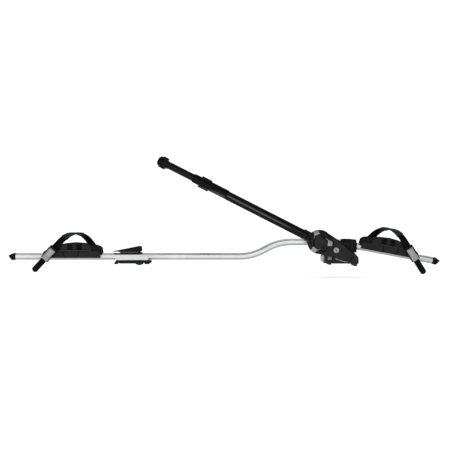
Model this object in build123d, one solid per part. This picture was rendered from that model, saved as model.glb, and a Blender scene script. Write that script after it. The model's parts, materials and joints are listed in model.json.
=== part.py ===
from build123d import *
import math
import os

# Upright roof bicycle carrier. Millimetres, +Z up.
# X runs along the tray towards its front end, Y runs across the roof and the arm and knob
# stand on the -Y side. The origin is midway between the two front bar bolts, on the plane
# where the rubber pads rest on the roof bars.

os.makedirs("parts", exist_ok=True)

# Clearances
SLIDE_GAP = 0.3          # between a moving piece and its neighbour
RUN_GAP = 0.05           # radial, between a shaft and its bearing

# Tray tube
TUBE_WIDTH = 32.0
TUBE_HEIGHT = 23.0
TUBE_BEVEL = 6.0
TUBE_EDGE = 2.5
TUBE_WALL = 2.2
TUBE_SLOT = 9.0
SLOT_SETBACK = 120.0     # from the middle of the S-bend back to the end of the rear slots
REAR_END_X = -1125.5
LOW_Z = 24.6             # tube centre at the rear
HIGH_Z = 74.4            # tube centre over the front base
CRANK_X = -263.0         # middle of the S-bend
CRANK_ANGLE = 28.0
CRANK_RADIUS = 170.0
FRONT_BEND_X = -25.9
FRONT_SLOPE = 10.6
FRONT_LENGTH = 345.0     # from the front bend to the end of the tube
FRONT_BEND_RADIUS = 90.0
CAP_LENGTH = 25.0

# Clamp that holds the tube down on the base
CLAMP_BOLT_RADIUS = 2.5
CLAMP_HEAD_Z = 77.0
CLAMP_BOLT_X = (4.0, 30.0)

# Arm and its pivot
PIVOT_X = -81.0
PIVOT_Z = 75.5
ARM_Y = -42.0
ARM_ANGLE = 27.0
ARM_LENGTH = 619.0
ARM_TUBE_RADIUS = 14.3
ARM_TUBE_WALL = 1.5
ARM_TUBE_START = 44.0
ARM_TUBE_END = 366.0
COLLAR_END = 483.0
JAW_STATION = 438.0
HUB_RADIUS = 29.0
HUB_HALF = 13.8
JOURNAL_RADIUS = 12.0
BUSH_WALL = 3.0
INNER_TUBE_RADIUS = 12.5
INNER_TUBE_WALL = 1.8
INNER_TUBE_START = 300.0
HEAD_STATION = 593.0
JAW_REACH = 92.0
COLLAR_START = 352.0
COLLAR_RADIUS = 16.3
COLLAR_TAPER_START = 440.0
GUIDE_BUSH_RADIUS = 13.8
TIP_RADIUS = 17.5

# Drive
SPINDLE_RADIUS = 4.5
KNOB_SHAFT_RADIUS = 6.0
GEAR_TEETH = 12
GEAR_RADIUS = 10.0
GEAR_FACE = 5.0
KNOB_RADIUS = 37.0
GRIP_RADIUS = 42.5
KNOB_DEPTH = 23.0

# Base
COVER_RADIUS = 41.5
COVER_FACE_Y = -72.0
COVER_BACK_Y = -57.5
CHEEK_NEAR_Y = -27.4
CHEEK_FAR_Y = -19.4
BASE_HALF = 26.0
SHELL_NEAR_Y = -57.0
SHELL_FAR_Y = 29.0
PLASTIC_WALL = 3.0
LOCK_X = -24.2
LOCK_Z = 47.0
LOCK_RADIUS = 9.2
BAR_BOLT_RADIUS = 4.25
BAR_BOLT_SPACING = 36.0
PAD_THICKNESS = 3.5
COVER_SCREWS = [(-42, 38), (2, 36.5), (6, 22)]
SCREW_RADIUS = 2.0
SCREW_HEAD_RADIUS = 4.0
SCREW_SEAT_Y = COVER_BACK_Y + 4

# Arm root, measured from the pivot
JOURNAL_FAR = CHEEK_FAR_Y - 0.2 - ARM_Y     # length of the far journal from the arm's plane
JOURNAL_NEAR = ARM_Y - COVER_FACE_Y         # length of the near journal
BEARING_START = 14.0
BEARING_END = 24.0
BEARING_RADIUS = 10.0
SOCKET_RADIUS = ARM_TUBE_RADIUS + 3.0
SOCKET_END = 62.0
ROOT_SCREW_X = 54.0
ROOT_SCREW_RADIUS = 2.0

# Frame jaws, measured along the arm
JAW_HALF_WIDTH = 20.5
JAW_TIP_HALF = 13.0
JAW_ROOT_Y = -6.0
JAW_LENGTH = 38.0
JAW_PAD = 6.0
JAW_DISH = 6.0
LOWER_FACE = JAW_STATION + JAW_LENGTH / 2
UPPER_FACE = HEAD_STATION - 7.5
HEAD_END = HEAD_STATION + 7.5

# Gears, spindle and knob
GEAR_CHAMBER = 12.6
GEAR_BACK = 12.5
GEAR_BORE = 3.0
GEAR_MODULE = 2 * GEAR_RADIUS / GEAR_TEETH
BACKLASH = 0.28
GEAR_NOSE = 7.6
SPINDLE_END = 330.0
KNOB_BACK = JOURNAL_NEAR + 1.2
KNOB_FRONT = KNOB_BACK + KNOB_DEPTH
GRIP_ANGLES = (112, -8, 232)
GRIP_WIDTH = 17.0
KNOB_FACE_Y = ARM_Y - KNOB_FRONT
KNOB_BACK_Y = ARM_Y - KNOB_BACK

# Wheel holders, in a frame with +X outward along the tube and Z from the tube's centre
REAR_HOLDER_X = -927.5
FRONT_HOLDER_RUN = 188.5   # along the front slope, from its bend
HOLDER_INNER = -95.0
HOLDER_OUTER = 100.0
SKIRT_HALF = 31.0
SKIRT_LOW = -4.8
SKIRT_TOP = 20.0
WALL_HALF = 28.5
CHANNEL_HALF = 24.0
WALL_TOP = 48.0
FLOOR_WALL = 3.5
LINER_THICKNESS = 3.0
HOLDER_BOLT_RADIUS = 3.0
FLOOR_Z = TUBE_HEIGHT / 2 + FLOOR_WALL
BOLT_HEAD_RADIUS = 6.0
CLAMP_PLATE_HALF = TUBE_WIDTH / 2 - TUBE_BEVEL - TUBE_WALL - 0.6
RECESS_DEPTH = 3.0
RECESSES = [(2.0, 16.5), (-29.5, -14.0)]

# Wheel strap and its buckle
STRAP_WIDTH = 23.0
STRAP_THICKNESS = 3.0
STRAP_HALF = 42.0
STRAP_SHOULDER = 48.0
STRAP_TOP = 80.0
BUCKLE_ANGLE = 47.6        # slope of the strap's near leg and of its tail
STRAP_EASE = 0.00066       # how the strap turns more upright towards its far side
STRAP_PITCH = 1 / math.tan(math.radians(BUCKLE_ANGLE))   # travel along the tube per unit of loop
BUCKLE_X = 77.5
BUCKLE_Z = 10.4
BUCKLE_LENGTH = 54.0
BUCKLE_WIDTH = 30.0
TAIL_LENGTH = 83.0
EAR_Z = 30.0
BUCKLE_BASE_DEPTH = 5.0      # from the strap's centre to the back of the buckle frame
BUCKLE_BACK_Y = -STRAP_HALF + BUCKLE_BASE_DEPTH
ARCH_HEIGHT = STRAP_TOP - STRAP_SHOULDER
NEAR_LEG = STRAP_SHOULDER - BUCKLE_Z
FAR_LEG = STRAP_SHOULDER - EAR_Z
ARC_STEPS = 180
STRAP_STATIONS = 22
SLEEVE_FIRST = 7
SLEEVE_LAST = 15
LEVER_PIN_X = -17.0
LEVER_PIN_Z = 6.2
LEVER_PIN_RADIUS = 2.0
CHEEK_INNER = STRAP_WIDTH / 2 + 0.8

# Rear foot
FOOT_LEFT = -784.0
FOOT_RIGHT = -664.0
FOOT_HALF = 21.0
FOOT_LOW = 3.5
FOOT_TOP = LOW_Z - TUBE_HEIGHT / 2 - 1.1
CAM_X = -699.0
CAM_Z = LOW_Z + TUBE_HEIGHT / 2 + 13.9
CAM_PIN_RADIUS = 4.0
LEVER_TIP_X = -789.0
DRAW_ROD_RADIUS = 4.0
T_PLATE_TOP = -0.4
T_PLATE_LOW = -3.4
ROD_NUT_HEIGHT = 2.2
TRAY_TOP = LOW_Z + TUBE_HEIGHT / 2
CAM_PLATE_TOP = TRAY_TOP + SLIDE_GAP + 2.4
LEVER_HALF = 15.0


# ---------------------------------------------------------------- shape helpers

def outline(points, radius=0.0):
    """Flat face in the XZ plane through (x, z) points, with its corners rounded."""
    corners = [(x, 0, z) for x, z in points]
    if radius > 0:
        edge = FilletPolyline(*corners, radius=radius, close=True)
    else:
        edge = Polyline(*corners, close=True)
    return make_face(edge)


def plate(points, y_low, y_high, radius=0.0):
    """XZ outline carried from y_low to y_high."""
    face = outline(points, radius)
    return Pos(0, y_low, 0) * extrude(face, amount=y_high - y_low, dir=(0, 1, 0))


def block(x_low, x_high, y_low, y_high, z_low, z_high):
    """Plain box between two corners."""
    size = (x_high - x_low, y_high - y_low, z_high - z_low)
    centre = ((x_low + x_high) / 2, (y_low + y_high) / 2, (z_low + z_high) / 2)
    return Pos(*centre) * Box(*size)


def rod_y(x, z, radius, y_low, y_high):
    """Cylinder along Y."""
    return Pos(x, (y_low + y_high) / 2, z) * Rot(90, 0, 0) * Cylinder(radius, y_high - y_low)


def rod_x(x_low, x_high, radius, y=0.0, z=0.0):
    """Cylinder along X."""
    return Pos((x_low + x_high) / 2, y, z) * Rot(0, 90, 0) * Cylinder(radius, x_high - x_low)


def rod_z(x, y, radius, z_low, z_high):
    """Cylinder along Z."""
    return Pos(x, y, (z_low + z_high) / 2) * Cylinder(radius, z_high - z_low)


def polar(angle, radius):
    """(x, z) of a point at an angle in degrees from +X towards +Z."""
    turn = math.radians(angle)
    return (radius * math.cos(turn), radius * math.sin(turn))


# ---------------------------------------------------------------- frames

def slope_point(run):
    """Point on the tube's centre line, a distance along the front slope."""
    fall = math.radians(FRONT_SLOPE)
    return (FRONT_BEND_X + run * math.cos(fall), 0, HIGH_Z - run * math.sin(fall))


# +X of this frame runs from the pivot towards the arm's tip, and +Y towards the knob.
ARM_FRAME = Plane(
    origin=(PIVOT_X, ARM_Y, PIVOT_Z),
    x_dir=(-math.cos(math.radians(ARM_ANGLE)), 0, math.sin(math.radians(ARM_ANGLE))),
    z_dir=(math.sin(math.radians(ARM_ANGLE)), 0, math.cos(math.radians(ARM_ANGLE))),
).location
FRONT_FRAME = Pos(*slope_point(FRONT_HOLDER_RUN)) * Rot(0, FRONT_SLOPE, 0)
BUCKLE_SLANT = math.radians(BUCKLE_ANGLE)


def place_front(shape):
    """Wheel-holder piece carried to the sloping front end of the tray."""
    return FRONT_FRAME * shape


def place_rear(shape):
    """Wheel-holder piece mirrored end for end and carried to the rear of the tray."""
    return Pos(REAR_HOLDER_X, 0, LOW_Z) * mirror(shape, about=Plane.YZ)


HOLDER_PLACES = {"rear": place_rear, "front": place_front}


# ---------------------------------------------------------------- tray tube

def tube_profile(grow=0.0):
    """Bevelled flat-oval outline of the tube, in a plane with its first axis across the tray."""
    half_w = TUBE_WIDTH / 2 + grow
    half_h = TUBE_HEIGHT / 2 + grow
    bevel = TUBE_BEVEL
    corners = [
        (half_w, -half_h + bevel), (half_w, half_h - bevel),
        (half_w - bevel, half_h), (-half_w + bevel, half_h),
        (-half_w, half_h - bevel), (-half_w, -half_h + bevel),
        (-half_w + bevel, -half_h), (half_w - bevel, -half_h),
    ]
    return make_face(FilletPolyline(*corners, radius=TUBE_EDGE, close=True))


def tube_path(overrun=0.0):
    """Centre line: low rear run, S-bend up to the base, then the sloping front run."""
    half_crank = (HIGH_Z - LOW_Z) / 2 / math.tan(math.radians(CRANK_ANGLE))
    points = [
        (REAR_END_X - overrun, 0, LOW_Z),
        (CRANK_X - half_crank, 0, LOW_Z),
        (CRANK_X + half_crank, 0, HIGH_Z),
        (FRONT_BEND_X, 0, HIGH_Z),
        slope_point(FRONT_LENGTH + overrun),
    ]
    return FilletPolyline(*points, radius=[CRANK_RADIUS, CRANK_RADIUS, FRONT_BEND_RADIUS])


def tube_solid(grow=0.0, overrun=0.0):
    """Tube envelope, larger all round by grow."""
    path = tube_path(overrun)
    start = Plane(origin=path @ 0, x_dir=(0, 1, 0), z_dir=path % 0)
    return sweep(start * tube_profile(grow), path=path)


def front_slope_slot():
    """Slot in the top of the sloping run, for the front wheel holder's bolt."""
    start = FRONT_HOLDER_RUN - 60
    length = FRONT_LENGTH - start + 5
    top = TUBE_HEIGHT / 2
    cut = block(0, length, -TUBE_SLOT / 2, TUBE_SLOT / 2, top - TUBE_WALL - 1, top + 1)
    return Pos(*slope_point(start)) * Rot(0, FRONT_SLOPE, 0) * cut


def tray_tube():
    """Extruded aluminium tray with bolt slots in its top and its underside."""
    shape = tube_solid() - tube_solid(-TUBE_WALL, 5)
    half = TUBE_SLOT / 2
    top = LOW_Z + TUBE_HEIGHT / 2
    low = LOW_Z - TUBE_HEIGHT / 2
    slot_end = CRANK_X - SLOT_SETBACK
    shape -= block(REAR_END_X - 1, slot_end, -half, half, top - TUBE_WALL - 1, top + 1)
    shape -= block(FOOT_LEFT - 30, slot_end, -half, half, low - 1, low + TUBE_WALL + 1)
    return shape - front_slope_slot()


def end_cap(place):
    """Wedge-nosed plastic plug in a frame with +X out of the tube."""
    nose = plate(
        [(0, -11), (0, 11.9), (10, 11), (CAP_LENGTH, 3), (CAP_LENGTH * 0.54, -13), (4, -12.4)],
        -TUBE_WIDTH / 2 + 0.5, TUBE_WIDTH / 2 - 0.5, 1.8)
    section = Plane(origin=(0, 0, 0), x_dir=(0, 1, 0), z_dir=(1, 0, 0))
    plug = extrude(section * tube_profile(-TUBE_WALL - 0.15), amount=-14)
    plug -= block(-15, -2, -TUBE_SLOT / 2, TUBE_SLOT / 2, -12, 12)
    return place * (nose + plug)


def end_caps():
    """The two identical tube plugs."""
    rear = Pos(REAR_END_X, 0, LOW_Z) * mirror(end_cap(Pos(0, 0, 0)), about=Plane.YZ)
    front = end_cap(Pos(*slope_point(FRONT_LENGTH)) * Rot(0, FRONT_SLOPE, 0))
    return Compound(children=[rear, front])


# ---------------------------------------------------------------- front base

def cover_tail(inset, y_low, y_high):
    """Straight-sided tail of the side cover, drawn in by inset."""
    return plate(
        [(-54, 106 - inset * 1.2), (29.4 - inset, 37.5 - inset), (29.4 - inset, 32.5),
         (13.5 - inset, 9.3 + inset), (-32, 20.8 + inset), (-58, 28.5 + inset), (-93, 35.8 + inset)],
        y_low, y_high)


def cover_outline(inset=0.0):
    """Teardrop side cover: a round end about the pivot and a straight-sided tail to its seam."""
    round_end = rod_y(PIVOT_X, PIVOT_Z, COVER_RADIUS - inset, COVER_FACE_Y, COVER_BACK_Y)
    return round_end + cover_tail(inset, COVER_FACE_Y, COVER_BACK_Y)


def side_box(inset, hub_clearance):
    """Space between the cheek and the cover, clear of the arm's hub."""
    tail = cover_tail(inset, COVER_BACK_Y, CHEEK_NEAR_Y)
    tail -= rod_y(PIVOT_X, PIVOT_Z, hub_clearance, COVER_BACK_Y - 1, CHEEK_NEAR_Y + 1)
    return tail - block(-140, PIVOT_X + hub_clearance - 2, COVER_BACK_Y - 1, CHEEK_NEAR_Y + 1, 0, 130)


def side_cover():
    """Shell over the arm's foot, with bosses for the near pivot bush and the lock."""
    shape = cover_outline()
    hollow = Pos(0, PLASTIC_WALL, 0) * cover_outline(PLASTIC_WALL)
    shape -= hollow
    boss_radius = JOURNAL_RADIUS + BUSH_WALL + PLASTIC_WALL
    shape += rod_y(PIVOT_X, PIVOT_Z, boss_radius, COVER_FACE_Y, COVER_BACK_Y)
    shape += rod_y(LOCK_X, LOCK_Z, LOCK_RADIUS + PLASTIC_WALL, COVER_FACE_Y, COVER_BACK_Y)
    shape -= rod_y(PIVOT_X, PIVOT_Z, JOURNAL_RADIUS + BUSH_WALL, COVER_FACE_Y - 1, COVER_BACK_Y + 1)
    shape -= rod_y(LOCK_X, LOCK_Z, LOCK_RADIUS + RUN_GAP, COVER_FACE_Y - 1, COVER_BACK_Y + 1)
    for x, z in COVER_SCREWS:
        shape += rod_y(x, z, 5.0, COVER_FACE_Y + 1, COVER_BACK_Y)
        shape -= rod_y(x, z, SCREW_RADIUS, COVER_FACE_Y + PLASTIC_WALL, COVER_BACK_Y + 1)
    return shape


def cover_screws():
    """Screws driven from inside the base shell's bosses into the cover's bosses."""
    screws = []
    for x, z in COVER_SCREWS:
        shank = rod_y(x, z, SCREW_RADIUS, COVER_BACK_Y - 8, SCREW_SEAT_Y)
        head = rod_y(x, z, SCREW_HEAD_RADIUS, SCREW_SEAT_Y, SCREW_SEAT_Y + 2.5)
        screws.append(shank + head)
    return Compound(children=screws)


def bar_bolt_holes(z_low, z_high, radius=BAR_BOLT_RADIUS):
    """The two holes for the bolts that hold the base to the front bar."""
    half = BAR_BOLT_SPACING / 2
    holes = [rod_z(0, side * half, radius, z_low, z_high) for side in (-1, 1)]
    return holes[0] + holes[1]


def base_casting():
    """Silver core: foot block, saddle under the tube and the inner cheek of the arm's fork."""
    foot = plate([(-71, 8), (-71, 27), (-60, 32), (40, 32), (40, 6), (-62, 6)],
                 -BASE_HALF, BASE_HALF, 3)
    saddle = block(-34, 40, -BASE_HALF + 4, BASE_HALF - 4, 30, HIGH_Z)
    cheek = rod_y(PIVOT_X, PIVOT_Z, HUB_RADIUS + 1, CHEEK_NEAR_Y, CHEEK_FAR_Y)
    cheek += plate([(-108, 66), (-62, 20), (36, 20), (36, 44), (-9, 59.5), (-62, 101)],
                   CHEEK_NEAR_Y, CHEEK_FAR_Y)
    floor = block(-34, 40, -BASE_HALF + 4, BASE_HALF - 4, PAD_THICKNESS, 8)
    shape = foot + saddle + cheek + floor
    shape -= rod_y(PIVOT_X, PIVOT_Z, JOURNAL_RADIUS + BUSH_WALL, CHEEK_NEAR_Y - 1, CHEEK_FAR_Y + 1)
    shape -= tube_solid()
    shape -= block(-36, 42, -TUBE_WIDTH / 2, TUBE_WIDTH / 2, HIGH_Z - 2, HIGH_Z + 20)
    shape -= bar_bolt_holes(0, 18)
    shape -= bar_bolt_holes(17, 60, 8)
    for x, y in clamp_bolt_places():
        shape -= rod_z(x, y, CLAMP_BOLT_RADIUS, 42, 80)
    return shape


def tube_clamp():
    """Block that closes over the tube and bolts down onto the casting."""
    half = TUBE_WIDTH / 2 + 9.5
    shape = plate([(-4.7, 60), (-4.7, 80), (-1, 84.2), (12, 85.6), (30, 85), (48.5, 83), (51.5, 66),
                   (49.5, 38), (40.3, 38), (40.3, 60)], -half, half, 1.2)
    shape -= tube_solid()
    shape -= block(-30, 40, -half - 1, half + 1, 30, HIGH_Z)
    shape -= block(-30, 60, -TUBE_WIDTH / 2, TUBE_WIDTH / 2, 40, HIGH_Z - 14)
    for x, y in clamp_bolt_places():
        shape -= rod_z(x, y, CLAMP_BOLT_RADIUS, 40, 100)
        shape -= rod_z(x, y, CLAMP_BOLT_RADIUS + 2.4, CLAMP_HEAD_Z, 100)
    return shape


def clamp_bolt_places():
    """(x, y) of the four bolts beside the tube."""
    offset = TUBE_WIDTH / 2 + 3.6
    return [(x, side * offset) for x in CLAMP_BOLT_X for side in (-1, 1)]


def clamp_bolts():
    """Four bolts from the clamp down into the casting."""
    bolts = []
    for x, y in clamp_bolt_places():
        shank = rod_z(x, y, CLAMP_BOLT_RADIUS, 42, CLAMP_HEAD_Z)
        head = rod_z(x, y, CLAMP_BOLT_RADIUS + 2.0, CLAMP_HEAD_Z, CLAMP_HEAD_Z + 4)
        bolts.append(shank + head)
    return Compound(children=bolts)


def base_shell():
    """Plastic foot housing around the casting, with a side box under the cover."""
    lower = plate([(-63, 3), (-63, 33), (29.4, 32.5), (40.8, 34.9), (51.5, 23), (52, 1), (-20, 1)],
                  SHELL_NEAR_Y, SHELL_FAR_Y, 2)
    lower += plate([(-51, 6), (-50, -3), (-40, -3), (-39, 6)], SHELL_NEAR_Y, SHELL_FAR_Y, 1)
    lower += plate([(36, 6), (36.5, -7.5), (48, -7.5), (49.5, 6)], SHELL_NEAR_Y, SHELL_FAR_Y, 1)
    lower -= block(-60, 49, SHELL_NEAR_Y + PLASTIC_WALL, CHEEK_NEAR_Y, 4, 30)
    lower -= block(-80, 40, CHEEK_NEAR_Y, BASE_HALF, -10, 60)
    lower += block(-62, -40, CHEEK_NEAR_Y, BASE_HALF, 1.5, 6)
    nose = plate([(13.8, 1), (13.8, 9.2), (29.7, 32.4), (29.7, 36), (40.8, 34.9), (51.5, 23), (52, 1)],
                 COVER_FACE_Y, SHELL_NEAR_Y, 1.5)
    rim = side_box(1.0, HUB_RADIUS + 5) - side_box(1.0 + PLASTIC_WALL, HUB_RADIUS + 8)
    shape = lower + nose + rim
    shape -= block(-52, -38, SHELL_NEAR_Y - 1, SHELL_NEAR_Y + PLASTIC_WALL + 1, 14, 27)
    for x, z in COVER_SCREWS:
        shape += rod_y(x, z, SCREW_HEAD_RADIUS + 1.8, COVER_BACK_Y, CHEEK_NEAR_Y)
    for x, z in COVER_SCREWS:
        shape -= rod_y(x, z, SCREW_RADIUS, COVER_BACK_Y - 1, SCREW_SEAT_Y)
        shape -= rod_y(x, z, SCREW_HEAD_RADIUS + 0.2, SCREW_SEAT_Y, CHEEK_NEAR_Y + 1)
    return shape


def bar_pad_front():
    """Rubber pad between the base and the front bar."""
    pad = block(-34, 34, -BASE_HALF + 2, BASE_HALF - 2, 0, PAD_THICKNESS)
    return pad - bar_bolt_holes(-1, PAD_THICKNESS + 1)


def pivot_bush(y_low, y_high):
    """Plastic bush round one of the arm's journals."""
    ring = rod_y(PIVOT_X, PIVOT_Z, JOURNAL_RADIUS + BUSH_WALL, y_low, y_high)
    return ring - rod_y(PIVOT_X, PIVOT_Z, JOURNAL_RADIUS + RUN_GAP, y_low - 1, y_high + 1)


def lock_cylinder():
    """Key cylinder with a keyway and a cam at its tail."""
    shape = rod_y(LOCK_X, LOCK_Z, LOCK_RADIUS, COVER_FACE_Y - 1.5, COVER_BACK_Y + 6)
    shape += block(LOCK_X - 4, LOCK_X + 13, COVER_BACK_Y + 6, COVER_BACK_Y + 9, LOCK_Z - 4, LOCK_Z + 4)
    return shape - block(LOCK_X - 1, LOCK_X + 1, COVER_FACE_Y - 3, COVER_FACE_Y + 6,
                         LOCK_Z - 4.5, LOCK_Z + 4.5)


# ---------------------------------------------------------------- arm, in the arm's frame

def slab(points, z_low, z_high, radius=0.0):
    """XY outline carried from z_low to z_high."""
    if radius > 0:
        edge = FilletPolyline(*points, radius=radius, close=True)
    else:
        edge = Polyline(*points, close=True)
    return Pos(0, 0, z_low) * extrude(make_face(edge), amount=z_high - z_low)


def root_screw_holes():
    """Cross holes for the screws that hold the tube in the root."""
    return rod_z(ROOT_SCREW_X, 0, ROOT_SCREW_RADIUS, -20, 20)


def arm_root():
    """Hub with two journals, a chamber for the mitre gears and a socket for the tube."""
    shape = rod_y(0, 0, HUB_RADIUS, -HUB_HALF, HUB_HALF)
    shape += rod_x(10, SOCKET_END, SOCKET_RADIUS)
    shape = shape & block(-40, 80, -HUB_HALF, HUB_HALF, -30, 30)
    shape += rod_x(COVER_RADIUS + 2, SOCKET_END, SOCKET_RADIUS)
    shape += rod_y(0, 0, JOURNAL_RADIUS, -JOURNAL_FAR, JOURNAL_NEAR)
    shape -= rod_y(0, 0, GEAR_CHAMBER + 1.4, -8, GEAR_BACK)
    shape -= rod_x(-1, BEARING_START, GEAR_CHAMBER)
    shape -= rod_y(0, 0, KNOB_SHAFT_RADIUS + RUN_GAP, 0, JOURNAL_NEAR + 1)
    shape -= rod_x(BEARING_START - 1, BEARING_END, BEARING_RADIUS)
    shape -= rod_x(BEARING_END - 1, SOCKET_END, SPINDLE_RADIUS + 1)
    shape -= rod_x(ARM_TUBE_START, SOCKET_END + 1, ARM_TUBE_RADIUS)
    return shape - root_screw_holes()


def arm_root_screws():
    """Two set screws through the socket into the tube."""
    top = rod_z(ROOT_SCREW_X, 0, ROOT_SCREW_RADIUS, ARM_TUBE_RADIUS - ARM_TUBE_WALL, SOCKET_RADIUS - 0.5)
    return Compound(children=[top, mirror(top, about=Plane.XY)])


def arm_tube():
    """Outer tube with a long shallow flute along its near upper side."""
    shape = rod_x(ARM_TUBE_START, ARM_TUBE_END, ARM_TUBE_RADIUS)
    shape -= rod_x(ARM_TUBE_START - 1, ARM_TUBE_END + 1, ARM_TUBE_RADIUS - ARM_TUBE_WALL)
    flute = block(90, COLLAR_START - 2, ARM_TUBE_RADIUS - 0.7, ARM_TUBE_RADIUS + 2, -3, 3)
    return shape - flute - root_screw_holes()


def arm_collar():
    """Collar on the outer tube's end that guides the inner tube and carries the lower jaw."""
    shape = rod_x(COLLAR_START, COLLAR_TAPER_START, COLLAR_RADIUS)
    taper = Cone(COLLAR_RADIUS, COLLAR_RADIUS - 1.0, COLLAR_END - COLLAR_TAPER_START)
    shape += Pos((COLLAR_TAPER_START + COLLAR_END) / 2, 0, 0) * Rot(0, 90, 0) * taper
    shape -= rod_x(COLLAR_START - 1, ARM_TUBE_END, ARM_TUBE_RADIUS)
    shape -= rod_x(ARM_TUBE_END - 1, COLLAR_END + 1, INNER_TUBE_RADIUS + SLIDE_GAP)
    return shape - rod_x(COLLAR_TAPER_START, COLLAR_END - 4, GUIDE_BUSH_RADIUS)


def guide_bush():
    """Plastic bush that the inner tube slides in."""
    ring = rod_x(COLLAR_TAPER_START, COLLAR_END - 4, GUIDE_BUSH_RADIUS)
    return ring - rod_x(COLLAR_TAPER_START - 1, COLLAR_END, INNER_TUBE_RADIUS + RUN_GAP)


def spindle_bearing():
    """Bearing that carries the spindle in the root."""
    ring = rod_x(BEARING_START, BEARING_END, BEARING_RADIUS)
    return ring - rod_x(BEARING_START - 1, BEARING_END + 1, SPINDLE_RADIUS + RUN_GAP)


def jaw_taper():
    """Side profile of a jaw finger: wide at the arm and narrower at its end."""
    section = Plane(origin=(0, 0, 0), x_dir=(0, 1, 0), z_dir=(1, 0, 0))
    edge = FilletPolyline(
        (14, -JAW_HALF_WIDTH), (-24, -JAW_HALF_WIDTH), (-JAW_REACH, -JAW_TIP_HALF),
        (-JAW_REACH, JAW_TIP_HALF), (-24, JAW_HALF_WIDTH), (14, JAW_HALF_WIDTH),
        radius=5, close=True)
    return extrude(section * make_face(edge), amount=800)


def jaw_pad_outline(face_x, toward):
    """Dished pad on a clamping face; toward is +1 or -1 along the arm."""
    middle = (JAW_ROOT_Y - 12 - JAW_REACH + 5) / 2
    near = JAW_ROOT_Y - 14
    far = -JAW_REACH + 5
    return [
        (face_x, near), (face_x - toward * JAW_DISH, middle), (face_x, far),
        (face_x + toward * JAW_PAD, far), (face_x + toward * (JAW_PAD - JAW_DISH), middle),
        (face_x + toward * JAW_PAD, near),
    ]


def lower_jaw():
    """Finger that reaches from the collar across the tray, dished towards the arm's tip."""
    pad = jaw_pad_outline(LOWER_FACE, 1)
    back = LOWER_FACE - JAW_LENGTH
    points = [(back, JAW_ROOT_Y), (LOWER_FACE, JAW_ROOT_Y), pad[0], pad[1], pad[2],
              (LOWER_FACE, -JAW_REACH), (LOWER_FACE - 12, -JAW_REACH), (back + 8, -JAW_REACH * 0.6)]
    shape = slab(points, -JAW_HALF_WIDTH, JAW_HALF_WIDTH) & jaw_taper()
    return shape - rod_x(COLLAR_START, COLLAR_TAPER_START, COLLAR_RADIUS) - collar_taper_cut()


def collar_taper_cut():
    """Envelope of the collar's tapered end."""
    return rod_x(COLLAR_TAPER_START - 1, COLLAR_END + 1, COLLAR_RADIUS)


def lower_jaw_pad():
    """Rubber facing of the lower jaw."""
    return slab(jaw_pad_outline(LOWER_FACE, 1), -JAW_TIP_HALF + 1, JAW_TIP_HALF - 1)


def inner_tube():
    """Inner telescopic tube."""
    shape = rod_x(INNER_TUBE_START, HEAD_END + 11, INNER_TUBE_RADIUS)
    return shape - rod_x(INNER_TUBE_START - 1, HEAD_END + 12, INNER_TUBE_RADIUS - INNER_TUBE_WALL)


def spindle_nut():
    """Nut in the lower end of the inner tube."""
    shape = rod_x(INNER_TUBE_START, INNER_TUBE_START + 18, INNER_TUBE_RADIUS - INNER_TUBE_WALL)
    return shape - rod_x(INNER_TUBE_START - 1, INNER_TUBE_START + 19, SPINDLE_RADIUS + RUN_GAP)


def glide_ring():
    """Ring that guides the lower end of the inner tube inside the outer tube."""
    start = INNER_TUBE_START - 10
    shape = rod_x(start, INNER_TUBE_START, ARM_TUBE_RADIUS - ARM_TUBE_WALL - RUN_GAP)
    return shape - rod_x(start - 1, INNER_TUBE_START + 1, SPINDLE_RADIUS + 1.5)


def jaw_head():
    """Upper jaw: a block on the inner tube with a finger like the lower jaw's."""
    pad = jaw_pad_outline(UPPER_FACE, -1)
    points = [(HEAD_END, 12), (UPPER_FACE, 12), (UPPER_FACE, JAW_ROOT_Y), pad[0], pad[1], pad[2],
              (UPPER_FACE, -JAW_REACH), (HEAD_END, -JAW_REACH), (HEAD_END + 12, -JAW_REACH * 0.55),
              (HEAD_END + 6, -24)]
    shape = slab(points, -JAW_HALF_WIDTH, JAW_HALF_WIDTH) & jaw_taper()
    shape -= rod_x(HEAD_END, HEAD_END + 40, TIP_RADIUS + 0.2)
    return shape - rod_x(UPPER_FACE - 30, HEAD_END + 30, INNER_TUBE_RADIUS)


def upper_jaw_pad():
    """Rubber facing of the upper jaw."""
    return slab(jaw_pad_outline(UPPER_FACE, -1), -JAW_TIP_HALF + 1, JAW_TIP_HALF - 1)


def tip_cap():
    """Domed plastic end of the arm."""
    shape = rod_x(HEAD_END, ARM_LENGTH, TIP_RADIUS)
    shape = fillet(shape.edges().sort_by(Axis.X)[-1], 12)
    return shape - rod_x(HEAD_END - 1, HEAD_END + 11, INNER_TUBE_RADIUS)


# ---------------------------------------------------------------- drive


def gear_point(offset, shrink):
    """(radius, height) on a 45 degree mitre gear, offset outward across its pitch cone."""
    step = offset / math.sqrt(2)
    return ((GEAR_RADIUS + step) * shrink, (GEAR_RADIUS - step) * shrink)


def mitre_tooth():
    """One straight tooth, tapering towards the point where the two gear axes cross."""
    cone = GEAR_RADIUS * math.sqrt(2)
    half = math.pi * GEAR_MODULE / 4 - BACKLASH
    lean = math.tan(math.radians(20))
    tip = GEAR_MODULE
    root = -1.3 * GEAR_MODULE
    ends = []
    for shrink in (1.0, 1.0 - GEAR_FACE / cone):
        tip_r, tip_z = gear_point(tip, shrink)
        root_r, root_z = gear_point(root, shrink)
        tip_half = (half - tip * lean) * shrink
        root_half = (half - root * lean) * shrink
        corners = [(tip_r, -tip_half, tip_z), (tip_r, tip_half, tip_z),
                   (root_r, root_half, root_z), (root_r, -root_half, root_z)]
        ends.append(make_face(Polyline(*corners, close=True)))
    return loft(ends, ruled=True)


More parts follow.
